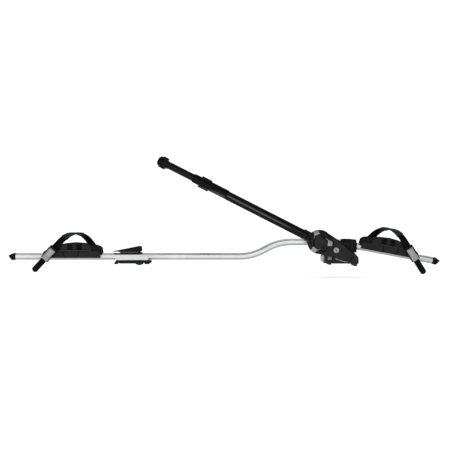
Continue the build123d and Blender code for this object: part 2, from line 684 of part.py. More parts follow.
def mitre_gear():
    """Mitre gear on +Z, with its pitch cone's point at the origin."""
    shrink = 1.0 - GEAR_FACE / (GEAR_RADIUS * math.sqrt(2))
    outer = gear_point(-1.25 * GEAR_MODULE, 1.0)
    inner = gear_point(-1.25 * GEAR_MODULE, shrink)
    profile = Polyline((GEAR_BORE, 0, inner[1]), (inner[0], 0, inner[1]), (outer[0], 0, outer[1]),
                       (outer[0], 0, GEAR_BACK), (GEAR_BORE, 0, GEAR_BACK), close=True)
    shape = revolve(make_face(profile), axis=Axis.Z)
    tooth = mitre_tooth()
    for index in range(GEAR_TEETH):
        shape += Rot(0, 0, index * 360 / GEAR_TEETH) * tooth
    return shape


def knob_gear():
    """Mitre gear on the knob's shaft."""
    axis = Plane(origin=(0, 0, 0), x_dir=(1, 0, 0), z_dir=(0, 1, 0)).location
    return axis * mitre_gear()


def spindle_gear():
    """Mitre gear on the spindle, turned half a tooth so that the pair meshes."""
    axis = Plane(origin=(0, 0, 0), x_dir=(0, 1, 0), z_dir=(1, 0, 0)).location
    return axis * Rot(0, 0, 180 / GEAR_TEETH) * mitre_gear()


def spindle():
    """Draw spindle inside the arm."""
    return rod_x(GEAR_NOSE, GEAR_BACK, GEAR_BORE) + rod_x(GEAR_BACK, SPINDLE_END, SPINDLE_RADIUS)


def knob_shaft():
    """Shaft from the knob through the near journal to its mitre gear."""
    shaft = rod_y(0, 0, GEAR_BORE, GEAR_NOSE, GEAR_BACK)
    return shaft + rod_y(0, 0, KNOB_SHAFT_RADIUS, GEAR_BACK, KNOB_FRONT - 4)


# The knob's visible parts are laid out in the XZ plane about the pivot.


def about_pivot(angle, shape):
    """Shape drawn along +X at the pivot, turned towards +Z by an angle."""
    return Pos(PIVOT_X, 0, PIVOT_Z) * Rot(0, -angle, 0) * shape


def grip_space(grow=0.0):
    """The three pockets for the grips, as one shape."""
    pocket = block(26 - grow, GRIP_RADIUS + 5, KNOB_FACE_Y - 3, KNOB_BACK_Y + 3,
                   -GRIP_WIDTH / 2 - grow, GRIP_WIDTH / 2 + grow)
    pockets = [about_pivot(angle, pocket) for angle in GRIP_ANGLES]
    return pockets[0] + pockets[1] + pockets[2]


def knob_dial():
    """Cupped dial with three pockets in its rim."""
    shape = rod_y(PIVOT_X, PIVOT_Z, KNOB_RADIUS, KNOB_FACE_Y, KNOB_BACK_Y)
    shape -= rod_y(PIVOT_X, PIVOT_Z, KNOB_RADIUS - 4, KNOB_FACE_Y + 4, KNOB_BACK_Y + 1)
    shape += rod_y(PIVOT_X, PIVOT_Z, KNOB_SHAFT_RADIUS + 5, KNOB_FACE_Y, KNOB_BACK_Y)
    shape -= rod_y(PIVOT_X, PIVOT_Z, KNOB_SHAFT_RADIUS, KNOB_FACE_Y + 4, KNOB_BACK_Y + 1)
    return shape - grip_space()


def knob_grips():
    """Three silver grips that stand out of the dial's rim."""
    grips = []
    for angle in GRIP_ANGLES:
        grip = block(26, GRIP_RADIUS, KNOB_FACE_Y - 1.5, KNOB_BACK_Y, -GRIP_WIDTH / 2, GRIP_WIDTH / 2)
        grip = fillet(grip.edges().filter_by(Axis.Y).sort_by(Axis.X)[-2:], 5)
        grips.append(about_pivot(angle, grip))
    return Compound(children=grips)


def knob_cap():
    """Raised rounded-triangle boss on the dial's face."""
    corners = [polar(angle, 31) for angle in GRIP_ANGLES]
    boss = plate(corners, KNOB_FACE_Y - 5, KNOB_FACE_Y, 7)
    shape = Pos(PIVOT_X, 0, PIVOT_Z) * boss
    return shape - grip_space(0.05)


# ---------------------------------------------------------------- rear foot

def foot_saddle():
    """Plastic saddle under the tube, with a lip at each end for the rear bar."""
    shape = plate([(FOOT_LEFT - 1, 2.5), (FOOT_LEFT + 7, FOOT_TOP), (FOOT_RIGHT, FOOT_TOP),
                   (FOOT_RIGHT, -2), (FOOT_RIGHT - 15, -2), (FOOT_RIGHT - 18, FOOT_LOW),
                   (FOOT_LEFT + 13, FOOT_LOW), (FOOT_LEFT + 10, -2), (FOOT_LEFT + 1, -2)],
                  -FOOT_HALF, FOOT_HALF, 1)
    shape += rod_y(FOOT_RIGHT + 3, FOOT_TOP - 5.5, 4.8, -12, 12)
    return shape - rod_z(CAM_X, 0, DRAW_ROD_RADIUS + SLIDE_GAP, -5, 20)


def foot_liner():
    """Bright channel on the saddle that hugs the lower half of the tube."""
    shape = block(FOOT_LEFT + 2, FOOT_RIGHT - 3, -TUBE_WIDTH / 2 - 2, TUBE_WIDTH / 2 + 2, FOOT_TOP, 25)
    shape -= tube_solid(SLIDE_GAP)
    return shape - rod_z(CAM_X, 0, DRAW_ROD_RADIUS + SLIDE_GAP, 0, 20)


def bar_pad_rear():
    """Rubber pad between the saddle and the rear bar."""
    pad = block(FOOT_LEFT + 16, FOOT_RIGHT - 21, -FOOT_HALF + 2, FOOT_HALF - 2, 0, FOOT_LOW)
    return pad - rod_z(CAM_X, 0, DRAW_ROD_RADIUS + SLIDE_GAP, -1, 20)


def cam_plate():
    """Sliding plate on top of the tube that the cam presses on."""
    shape = block(FOOT_LEFT + 18, CAM_X + 10, -13, 13, TRAY_TOP + SLIDE_GAP, CAM_PLATE_TOP)
    return shape - rod_z(CAM_X, 0, DRAW_ROD_RADIUS + SLIDE_GAP, TRAY_TOP, CAM_PLATE_TOP + 1)


def cam_lever():
    """Wedge lever, forked at its cam and thinned to a finger tip at its other end."""
    low = CAM_PLATE_TOP + 0.8
    shape = plate([(LEVER_TIP_X, low + 0.4), (LEVER_TIP_X + 1, low + 3.4), (CAM_X - 1, CAM_Z + 10.8),
                   (CAM_X + 7.5, CAM_Z + 10), (CAM_X + 9.2, CAM_Z - 2), (CAM_X + 7, CAM_Z - 8.5),
                   (CAM_X, low), (CAM_X - 70, low), (CAM_X - 73, low + 1.9)], -LEVER_HALF, LEVER_HALF, 0.9)
    shape -= rod_y(CAM_X, CAM_Z, CAM_PIN_RADIUS + RUN_GAP, -LEVER_HALF - 1, LEVER_HALF + 1)
    return shape - block(CAM_X - 14, CAM_X + 12, -6.5, 6.5, 30, 70)


def cam_pin():
    """Pin through the lever's fork, with a flat boss for the draw rod."""
    shape = rod_y(CAM_X, CAM_Z, CAM_PIN_RADIUS, -LEVER_HALF, LEVER_HALF)
    shape += rod_y(CAM_X, CAM_Z, 7, -6, 6)
    return shape - rod_z(CAM_X, 0, DRAW_ROD_RADIUS, CAM_Z - 12, CAM_Z + 12)


def draw_rod():
    """Rod from the cam pin down through the tube and the saddle."""
    return rod_z(CAM_X, 0, DRAW_ROD_RADIUS, T_PLATE_LOW - ROD_NUT_HEIGHT - 0.4, CAM_Z + 6)


def t_plate():
    """Plate that grips inside the rear bar's groove."""
    shape = block(CAM_X - 12, CAM_X + 12, -9, 9, T_PLATE_LOW, T_PLATE_TOP)
    return shape - rod_z(CAM_X, 0, DRAW_ROD_RADIUS, T_PLATE_LOW - 1, T_PLATE_TOP + 1)


def rod_nut():
    """Hexagon nut under the plate."""
    nut = extrude(RegularPolygon(7, 6), amount=ROD_NUT_HEIGHT)
    return Pos(CAM_X, 0, T_PLATE_LOW - ROD_NUT_HEIGHT) * nut - rod_z(CAM_X, 0, DRAW_ROD_RADIUS, -12, 2)


# ---------------------------------------------------------------- wheel holders, in their own frame


def straight_tube(grow, length=400):
    """Straight length of the tube's envelope along X."""
    section = Plane(origin=(-length / 2, 0, 0), x_dir=(0, 1, 0), z_dir=(1, 0, 0))
    return extrude(section * tube_profile(grow), amount=length)


def holder():
    """Channel-shaped wheel holder: skirts over the tube, arched walls and a raised inner end."""
    skirt = plate(
        [(HOLDER_INNER, SKIRT_LOW), (HOLDER_OUTER, SKIRT_LOW), (HOLDER_OUTER + 1, 14),
         (HOLDER_OUTER - 5, SKIRT_TOP), (HOLDER_INNER + 3, SKIRT_TOP), (HOLDER_INNER, 17)],
        -SKIRT_HALF, SKIRT_HALF, 2)
    wall = plate(
        [(62, 15), (57, 32), (42, 41), (24, 46), (-6, WALL_TOP + 1), (-34, 47), (-52, 44.5),
         (-66, 36), (-72, 15)],
        -WALL_HALF, WALL_HALF, 5)
    hood = plate(
        [(-62, 15), (-66, 38), (-78, 40.5), (-92, 36), (-99, 30), (-102, 10), (HOLDER_INNER, 10)],
        -WALL_HALF, WALL_HALF, 3)
    shape = skirt + wall + hood
    shape -= block(-130, 130, -CHANNEL_HALF, CHANNEL_HALF, FLOOR_Z, 90)
    shape -= straight_tube(SLIDE_GAP)
    shape -= block(-130, 130, -TUBE_WIDTH / 2 - SLIDE_GAP, TUBE_WIDTH / 2 + SLIDE_GAP, -20, 0)
    for low, high in RECESSES:
        for side in (-1, 1):
            face = side * WALL_HALF
            y_pair = sorted((face - side * RECESS_DEPTH, face + side))
            shape -= block(low, high, y_pair[0], y_pair[1], SKIRT_TOP + 1.5, 43)
    shape += rod_y(BUCKLE_X, BUCKLE_Z - 2, 9, BUCKLE_BACK_Y, -SKIRT_HALF + 4)
    anchor = strap_frame(strap_length())
    shape += rod_y(anchor.X, anchor.Z, 9, SKIRT_HALF - 4, STRAP_HALF - STRAP_THICKNESS / 2)
    shape -= rod_y(BUCKLE_X, BUCKLE_Z - 2, 3, BUCKLE_BACK_Y - 1, -SKIRT_HALF + 4)
    shape -= rod_y(anchor.X, anchor.Z, 3, SKIRT_HALF - 4, STRAP_HALF)
    return shape - rod_z(0, 0, HOLDER_BOLT_RADIUS + 0.2, 0, 30)


def holder_liner():
    """Rubber strip in the channel's floor."""
    top = FLOOR_Z + LINER_THICKNESS
    strip = block(HOLDER_INNER + 2, HOLDER_OUTER - 3, -CHANNEL_HALF + 0.5, CHANNEL_HALF - 0.5, FLOOR_Z, top)
    return strip - rod_z(0, 0, BOLT_HEAD_RADIUS + 0.5, FLOOR_Z - 1, top + 1)


def clamp_plate():
    """Nut plate inside the tube, under its top slot."""
    top = TUBE_HEIGHT / 2 - TUBE_WALL - SLIDE_GAP
    shape = block(-16, 16, -CLAMP_PLATE_HALF, CLAMP_PLATE_HALF, top - 4, top)
    return shape - rod_z(0, 0, HOLDER_BOLT_RADIUS, 0, 20)


def clamp_bolt():
    """Bolt from the channel's floor down to the nut plate."""
    shank = rod_z(0, 0, HOLDER_BOLT_RADIUS, 4, FLOOR_Z)
    return shank + rod_z(0, 0, BOLT_HEAD_RADIUS, FLOOR_Z, FLOOR_Z + 2.6)


# ---------------------------------------------------------------- strap


def arch_length(turn):
    """Length along the arch over the tyre, from its near shoulder through a turn in degrees."""
    steps = max(1, round(ARC_STEPS * turn / 180))
    total = 0.0
    for index in range(steps):
        middle = math.radians(turn * (index + 0.5) / steps)
        across = STRAP_HALF * math.sin(middle)
        rise = ARCH_HEIGHT * math.cos(middle)
        total += math.hypot(across, rise) * math.radians(turn) / steps
    return total


def strap_length():
    """Length along the loop from the buckle to the far anchor."""
    return NEAR_LEG + arch_length(180) + FAR_LEG


def arch_turn(run):
    """Turn in degrees at a distance along the arch, found by halving."""
    low, high = 0.0, 180.0
    for _ in range(30):
        middle = (low + high) / 2
        if arch_length(middle) < run:
            low = middle
        else:
            high = middle
    return (low + high) / 2


def strap_frame(run):
    """Point on the strap's centre line at a distance from the buckle, measured round the loop."""
    x = BUCKLE_X - STRAP_PITCH * run + STRAP_EASE * max(0.0, run - NEAR_LEG) ** 2
    if run <= NEAR_LEG:
        return Vector(x, -STRAP_HALF, BUCKLE_Z + run)
    arch = arch_length(180)
    if run >= NEAR_LEG + arch:
        return Vector(x, STRAP_HALF, STRAP_SHOULDER - (run - NEAR_LEG - arch))
    turn = math.radians(arch_turn(run - NEAR_LEG))
    return Vector(x, -STRAP_HALF * math.cos(turn), STRAP_SHOULDER + ARCH_HEIGHT * math.sin(turn))


def strap_section(run, width, inner, outer):
    """Rectangle across the strap, from inner to outer measured out from its centre."""
    here = strap_frame(run)
    ahead = (strap_frame(run + 0.5) - strap_frame(run - 0.5)).normalized()
    around = Vector(0, ahead.Y, ahead.Z).normalized()
    out = Vector(0, -around.Z, around.Y)
    across = ahead.cross(out).normalized()
    corners = [here + across * (width / 2) + out * inner, here + across * (width / 2) + out * outer,
               here - across * (width / 2) + out * outer, here - across * (width / 2) + out * inner]
    return make_face(Polyline(*corners, close=True))


def strap_band(first, last, width, inner, outer):
    """Band that follows the strap's loop, from one station on it to another."""
    sections = []
    for index in range(first, last + 1):
        run = strap_length() * index / STRAP_STATIONS
        sections.append(strap_section(run, width, inner, outer))
    return loft(sections, ruled=True)


# Frame of the buckle: +X down the tail, +Z away from the wheel holder.
BUCKLE_FRAME = Plane(
    origin=(BUCKLE_X, -STRAP_HALF, BUCKLE_Z),
    x_dir=(math.cos(BUCKLE_SLANT), 0, -math.sin(BUCKLE_SLANT)),
    z_dir=(0, -1, 0),
).location


def strap():
    """Wheel strap: riveted at the far side, over the tyre, through the buckle and down its tail."""
    half = STRAP_THICKNESS / 2
    shape = strap_band(0, STRAP_STATIONS, STRAP_WIDTH, -half, half)
    tail = Pos(TAIL_LENGTH / 2 - 1, 0, 0) * Box(TAIL_LENGTH, STRAP_WIDTH - 2, STRAP_THICKNESS)
    tail = fillet(tail.edges().filter_by(Axis.Z).sort_by(Axis.X)[-2:], STRAP_WIDTH / 2 - 2)
    shape += BUCKLE_FRAME * tail
    anchor = strap_frame(strap_length())
    shape += rod_y(anchor.X, anchor.Z, STRAP_WIDTH / 2, STRAP_HALF - half, STRAP_HALF + half)
    return shape - rod_y(anchor.X, anchor.Z, 3, STRAP_HALF - 5, STRAP_HALF + 5)


def strap_sleeve():
    """Rubber sleeve round the top of the strap, where it lies on the tyre."""
    half = STRAP_THICKNESS / 2
    sleeve = strap_band(SLEEVE_FIRST, SLEEVE_LAST, STRAP_WIDTH + 3, -half - 1.4, half + 1.4)
    return sleeve - strap_band(
        SLEEVE_FIRST - 1, SLEEVE_LAST + 1, STRAP_WIDTH + 0.3, -half - 0.15, half + 0.15)


# ---------------------------------------------------------------- buckle, in its own frame


def buckle_frame():
    """Channel that the strap runs through, with two cheeks for the lever's pin."""
    half_length = BUCKLE_LENGTH / 2
    half_width = BUCKLE_WIDTH / 2
    shape = block(-half_length, half_length, -half_width, half_width, -BUCKLE_BASE_DEPTH, 9)
    shape -= block(-half_length - 1, half_length + 1, -CHEEK_INNER, CHEEK_INNER, -2.2, 12)
    shape -= block(half_length - 13, half_length + 1, -half_width - 1, half_width + 1, 3, 12)
    shape += block(-half_length, -half_length + 5, -half_width, half_width, 3, 11)
    shape -= Pos(LEVER_PIN_X, 0, LEVER_PIN_Z) * Rot(90, 0, 0) * Cylinder(LEVER_PIN_RADIUS, 60)
    shape -= rivet_hole()
    return BUCKLE_FRAME * shape


def rivet_hole():
    """Hole for the rivet that fixes the buckle frame to the holder."""
    shift = BUCKLE_FRAME.inverse() * Pos(BUCKLE_X, 0, BUCKLE_Z - 2)
    return Pos(shift.position.X, shift.position.Y, 0) * Cylinder(3, 30)


def buckle_lever():
    """Bowed release lever with a tooth that grips the strap."""
    reach = BUCKLE_LENGTH / 2
    half = CHEEK_INNER - SLIDE_GAP
    edge = FilletPolyline(
        (LEVER_PIN_X - 2.6, 0, 4.4), (LEVER_PIN_X - 2.6, 0, 9), (-8, 0, 12), (reach - 14, 0, 12),
        (reach, 0, 7), (reach, 0, 4.6), (-8, 0, 5), (LEVER_PIN_X + 4, 0, 2.2), (LEVER_PIN_X + 1, 0, 2.2),
        radius=1.2, close=True)
    shape = Pos(0, -half, 0) * extrude(make_face(edge), amount=2 * half, dir=(0, 1, 0))
    shape -= Pos(LEVER_PIN_X, 0, LEVER_PIN_Z) * Rot(90, 0, 0) * Cylinder(LEVER_PIN_RADIUS + RUN_GAP, 60)
    return BUCKLE_FRAME * shape


def strap_pins():
    """Lever pin, buckle rivet and strap rivet of one wheel holder."""
    pin = Pos(LEVER_PIN_X, 0, LEVER_PIN_Z) * Rot(90, 0, 0) * Cylinder(LEVER_PIN_RADIUS, BUCKLE_WIDTH)
    rivet = rod_y(BUCKLE_X, BUCKLE_Z - 2, 3, BUCKLE_BACK_Y + 2.8 - BUCKLE_BASE_DEPTH, -SKIRT_HALF + 4)
    anchor = strap_frame(strap_length())
    outer = STRAP_HALF + STRAP_THICKNESS / 2
    strap_rivet = rod_y(anchor.X, anchor.Z, 3, SKIRT_HALF - 4, outer)
    strap_rivet += rod_y(anchor.X, anchor.Z, 6, outer, outer + 2)
    return Compound(children=[BUCKLE_FRAME * pin, rivet, strap_rivet])


# ---------------------------------------------------------------- nodes

def in_arm(shape):
    """Piece drawn in the arm's frame, carried to its place."""
    return ARM_FRAME * shape


NODES = {
    "tray_tube": tray_tube(),
    "end_caps": end_caps(),
    "base_casting": base_casting(),
    "base_shell": base_shell(),
    "side_cover": side_cover(),
    "cover_screws": cover_screws(),
    "tube_clamp": tube_clamp(),
    "clamp_bolts": clamp_bolts(),
    "bar_pad_front": bar_pad_front(),
    "pivot_bush_inner": pivot_bush(CHEEK_NEAR_Y, CHEEK_FAR_Y),
    "pivot_bush_outer": pivot_bush(COVER_FACE_Y, COVER_BACK_Y),
    "lock_cylinder": lock_cylinder(),
    "arm_root": in_arm(arm_root()),
    "arm_root_screws": in_arm(arm_root_screws()),
    "arm_tube": in_arm(arm_tube()),
    "arm_collar": in_arm(arm_collar()),
    "guide_bush": in_arm(guide_bush()),
    "spindle_bearing": in_arm(spindle_bearing()),
    "lower_jaw": in_arm(lower_jaw()),
    "lower_jaw_pad": in_arm(lower_jaw_pad()),
    "inner_tube": in_arm(inner_tube()),
    "spindle_nut": in_arm(spindle_nut()),
    "glide_ring": in_arm(glide_ring()),
    "jaw_head": in_arm(jaw_head()),
    "upper_jaw_pad": in_arm(upper_jaw_pad()),
    "tip_cap": in_arm(tip_cap()),
    "spindle": in_arm(spindle()),
    "spindle_gear": in_arm(spindle_gear()),
    "knob_shaft": in_arm(knob_shaft()),
    "knob_gear": in_arm(knob_gear()),
    "knob_dial": knob_dial(),
    "knob_grips": knob_grips(),
    "knob_cap": knob_cap(),
    "foot_saddle": foot_saddle(),
    "foot_liner": foot_liner(),
    "bar_pad_rear": bar_pad_rear(),
    "cam_plate": cam_plate(),
    "cam_lever": cam_lever(),
    "cam_pin": cam_pin(),
    "draw_rod": draw_rod(),
    "t_plate": t_plate(),
    "rod_nut": rod_nut(),
}

HOLDER_PIECES = {
    "holder": holder(),
    "holder_liner": holder_liner(),
    "clamp_plate": clamp_plate(),
    "clamp_bolt": clamp_bolt(),
    "strap": strap(),
    "strap_sleeve": strap_sleeve(),
    "buckle_frame": buckle_frame(),
    "buckle_lever": buckle_lever(),
    "strap_pins": strap_pins(),
}

for end, place in HOLDER_PLACES.items():
    for name, piece in HOLDER_PIECES.items():
        NODES[f"{end}_{name}"] = place(piece)

for name, shape in NODES.items():
    export_step(shape, f"parts/{name}.step")
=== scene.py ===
import json
import math
import bpy
import bmesh
from mathutils import Matrix, Vector


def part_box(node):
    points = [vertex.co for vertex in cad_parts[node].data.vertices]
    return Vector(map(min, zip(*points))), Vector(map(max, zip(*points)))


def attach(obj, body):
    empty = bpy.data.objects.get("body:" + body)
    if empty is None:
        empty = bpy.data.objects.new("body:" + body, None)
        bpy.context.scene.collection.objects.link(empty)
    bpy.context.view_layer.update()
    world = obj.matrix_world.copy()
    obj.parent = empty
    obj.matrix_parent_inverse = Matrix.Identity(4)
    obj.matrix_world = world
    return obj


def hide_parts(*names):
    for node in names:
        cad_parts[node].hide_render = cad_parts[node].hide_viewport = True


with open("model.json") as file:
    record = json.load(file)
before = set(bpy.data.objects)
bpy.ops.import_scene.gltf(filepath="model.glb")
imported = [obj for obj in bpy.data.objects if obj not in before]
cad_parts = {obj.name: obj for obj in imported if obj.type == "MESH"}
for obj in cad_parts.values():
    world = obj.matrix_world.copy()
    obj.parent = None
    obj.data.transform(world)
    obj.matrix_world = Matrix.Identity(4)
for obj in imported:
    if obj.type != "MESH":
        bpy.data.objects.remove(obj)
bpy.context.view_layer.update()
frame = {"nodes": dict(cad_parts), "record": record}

ENDS = ("rear", "front")

# ---------------------------------------------------------------- camera, light and floor

CAMERA_PLACE = (-0.403, -4.3, 0.133)
CAMERA_LENS = 99.4
SENSOR_WIDTH = 36.0
VIEW_REACH = 60
FLOOR_Z = -0.046
FLOOR_REACH = 40.0
FLOOR_WHITE = (0.93, 0.93, 0.93, 1)
FLOOR_GLOW = 0.62            # keeps the floor pale under the soft lights
SURROUND_LIGHT = 0.31        # what the surround adds to the lighting
SURROUND_WHITE = 1.15        # what the camera sees of it
OVERHEAD_POWER = 0.75
OVERHEAD_SPREAD = math.radians(60)
OVERHEAD_TURN = (math.radians(-12), math.radians(-8), 0)
FRONT_LIGHT_PLACE = (-0.9, -4.6, 0.5)
FRONT_LIGHT_AIM = (-0.4, 0, 0.05)
FRONT_LIGHT_SIZE = (5.0, 1.2)
FRONT_LIGHT_POWER = 62


def link(thing):
    bpy.context.scene.collection.objects.link(thing)


def make_camera():
    """Level camera looking square at the side with the arm."""
    data = bpy.data.cameras.new("camera")
    data.sensor_width = SENSOR_WIDTH
    data.lens = CAMERA_LENS
    data.clip_end = VIEW_REACH
    camera = bpy.data.objects.new("camera", data)
    camera.location = CAMERA_PLACE
    camera.rotation_euler = (math.radians(90), 0, 0)
    link(camera)
    bpy.context.scene.camera = camera


def make_lights():
    """Soft light from above, and a wide soft light from the camera's side."""
    sky = bpy.data.lights.new("overhead_light", "SUN")
    sky.energy = OVERHEAD_POWER
    sky.angle = OVERHEAD_SPREAD
    overhead = bpy.data.objects.new("overhead_light", sky)
    overhead.rotation_euler = OVERHEAD_TURN
    link(overhead)

    panel = bpy.data.lights.new("front_light", "AREA")
    panel.shape = "RECTANGLE"
    panel.size, panel.size_y = FRONT_LIGHT_SIZE
    panel.energy = FRONT_LIGHT_POWER
    front = bpy.data.objects.new("front_light", panel)
    front.location = FRONT_LIGHT_PLACE
    direction = Vector(FRONT_LIGHT_AIM) - Vector(FRONT_LIGHT_PLACE)
    front.rotation_euler = direction.to_track_quat("-Z", "Y").to_euler()
    link(front)


def make_stage():
    """Pale floor and a pale surround."""
    mesh = bpy.data.meshes.new("floor")
    corners = [(x * FLOOR_REACH, y * FLOOR_REACH, FLOOR_Z)
               for x, y in ((-1, -1), (1, -1), (1, 1), (-1, 1))]
    mesh.from_pydata(corners, [], [(0, 1, 2, 3)])
    floor = bpy.data.objects.new("floor", mesh)
    link(floor)
    paint = bpy.data.materials.new("floor_white")
    paint.use_nodes = True
    shader = paint.node_tree.nodes["Principled BSDF"]
    shader.inputs["Base Color"].default_value = FLOOR_WHITE
    shader.inputs["Roughness"].default_value = 1.0
    shader.inputs["Specular IOR Level"].default_value = 0.0
    shader.inputs["Emission Color"].default_value = (1, 1, 1, 1)
    shader.inputs["Emission Strength"].default_value = FLOOR_GLOW
    mesh.materials.append(paint)

    world = bpy.data.worlds.new("surround")
    bpy.context.scene.world = world
    world.use_nodes = True
    tree = world.node_tree
    background = tree.nodes["Background"]
    background.inputs["Color"].default_value = (1, 1, 1, 1)
    light_path = tree.nodes.new("ShaderNodeLightPath")
    strength = tree.nodes.new("ShaderNodeMapRange")
    strength.inputs["To Min"].default_value = SURROUND_LIGHT
    strength.inputs["To Max"].default_value = SURROUND_WHITE
    tree.links.new(light_path.outputs["Is Camera Ray"], strength.inputs["Value"])
    tree.links.new(strength.outputs["Result"], background.inputs["Strength"])
    bpy.context.scene.view_settings.view_transform = "Standard"


# ---------------------------------------------------------------- materials

def new_material(name):
    material = bpy.data.materials.new(name)
    material.use_nodes = True
    return material, material.node_tree, material.node_tree.nodes["Principled BSDF"]


def node(tree, kind, **settings):
    made = tree.nodes.new(kind)
    for key, value in settings.items():
        setattr(made, key, value)
    return made


def noise(tree, source, scale, detail=3.0, stretch=(1, 1, 1)):
    """Noise over the object's own coordinates, in features per metre."""
    mapping = node(tree, "ShaderNodeMapping")
    mapping.inputs["Scale"].default_value = stretch
    tree.links.new(source, mapping.inputs["Vector"])
    texture = node(tree, "ShaderNodeTexNoise")
    texture.inputs["Scale"].default_value = scale
    texture.inputs["Detail"].default_value = detail
    tree.links.new(mapping.outputs["Vector"], texture.inputs["Vector"])
    return texture.outputs["Fac"]


def ramp(tree, source, low, high, out_low, out_high):
    """Linear remap, clamped."""
    made = node(tree, "ShaderNodeMapRange")
    for key, value in zip(("From Min", "From Max", "To Min", "To Max"), (low, high, out_low, out_high)):
        made.inputs[key].default_value = value
    tree.links.new(source, made.inputs["Value"])
    return made.outputs["Result"]


def mix(tree, factor, first, second):
    """Colour mix of two values or sockets."""
    made = node(tree, "ShaderNodeMix", data_type="RGBA")
    tree.links.new(factor, made.inputs["Factor"])
    for key, value in (("A", first), ("B", second)):
        socket = [s for s in made.inputs if s.name == key and s.type == "RGBA"][0]
        if isinstance(value, tuple):
            socket.default_value = (*value, 1)
        else:
            tree.links.new(value, socket)
    return [s for s in made.outputs if s.type == "RGBA"][0]


def maths(tree, operation, first, second):
    """Two sockets through a maths node."""
    made = node(tree, "ShaderNodeMath", operation=operation)
    tree.links.new(first, made.inputs[0])
    tree.links.new(second, made.inputs[1])
    return made.outputs[0]


def bump(tree, source, distance):
    """Bump node at full strength over a height."""
    made = node(tree, "ShaderNodeBump")
    made.inputs["Strength"].default_value = 1.0
    made.inputs["Distance"].default_value = distance
    tree.links.new(source, made.inputs["Height"])
    return made


WEAR_WIDTH = 0.0009
WEAR_BEND = (0.02, 0.22)      # how far the rounded normal leaves the face's own, from no wear to full
BLOTCHES = 14.0               # features per metre
SMEARS = 34.0
WEAR_PATCHES = 130.0
SCRATCHES = 420.0


def edge_mask(tree):
    """1 along convex and concave edges, 0 on flat faces."""
    bevel = node(tree, "ShaderNodeBevel", samples=4)
    bevel.inputs["Radius"].default_value = WEAR_WIDTH
    geometry = node(tree, "ShaderNodeNewGeometry")
    dot = node(tree, "ShaderNodeVectorMath", operation="DOT_PRODUCT")
    tree.links.new(bevel.outputs["Normal"], dot.inputs[0])
    tree.links.new(geometry.outputs["Normal"], dot.inputs[1])
    return ramp(tree, dot.outputs["Value"], 1 - WEAR_BEND[0], 1 - WEAR_BEND[1], 0, 1)


def surface(name, colour, variation, metallic, rough, grain, grain_height, wear, stretch=(1, 1, 1),
            specular=0.5, scratches=0.0):
    """Procedural finish: blotchy colour, uneven roughness, fine relief, scuffs and worn edges."""
    material, tree, shader = new_material(name)
    source = node(tree, "ShaderNodeTexCoord").outputs["Object"]
    fine = noise(tree, source, grain, 4.0, stretch)
    broad = noise(tree, source, BLOTCHES, 3.0)
    shade = mix(tree, ramp(tree, broad, 0.3, 0.7, 0, 1), colour, variation)
    shade = mix(tree, ramp(tree, fine, 0.35, 0.75, 0, 0.35), shade, variation)
    patchy = ramp(tree, noise(tree, source, WEAR_PATCHES, 5.0), 0.42, 0.62, 0, 0.75)
    shade = mix(tree, maths(tree, "MULTIPLY", edge_mask(tree), patchy), shade, wear)
    tree.links.new(shade, shader.inputs["Base Color"])
    shader.inputs["Metallic"].default_value = metallic
    shader.inputs["Specular IOR Level"].default_value = specular
    smear = noise(tree, source, SMEARS, 4.0, stretch)
    tree.links.new(ramp(tree, smear, 0.3, 0.72, rough[0], rough[1]), shader.inputs["Roughness"])
    relief = bump(tree, fine, grain_height)
    if scratches:
        lines = noise(tree, source, SCRATCHES, 2.0, (0.06, 1, 1))
        over = bump(tree, ramp(tree, lines, 0.62, 0.7, 0, 1), scratches)
        tree.links.new(relief.outputs["Normal"], over.inputs["Normal"])
        relief = over
    tree.links.new(relief.outputs["Normal"], shader.inputs["Normal"])
    return material


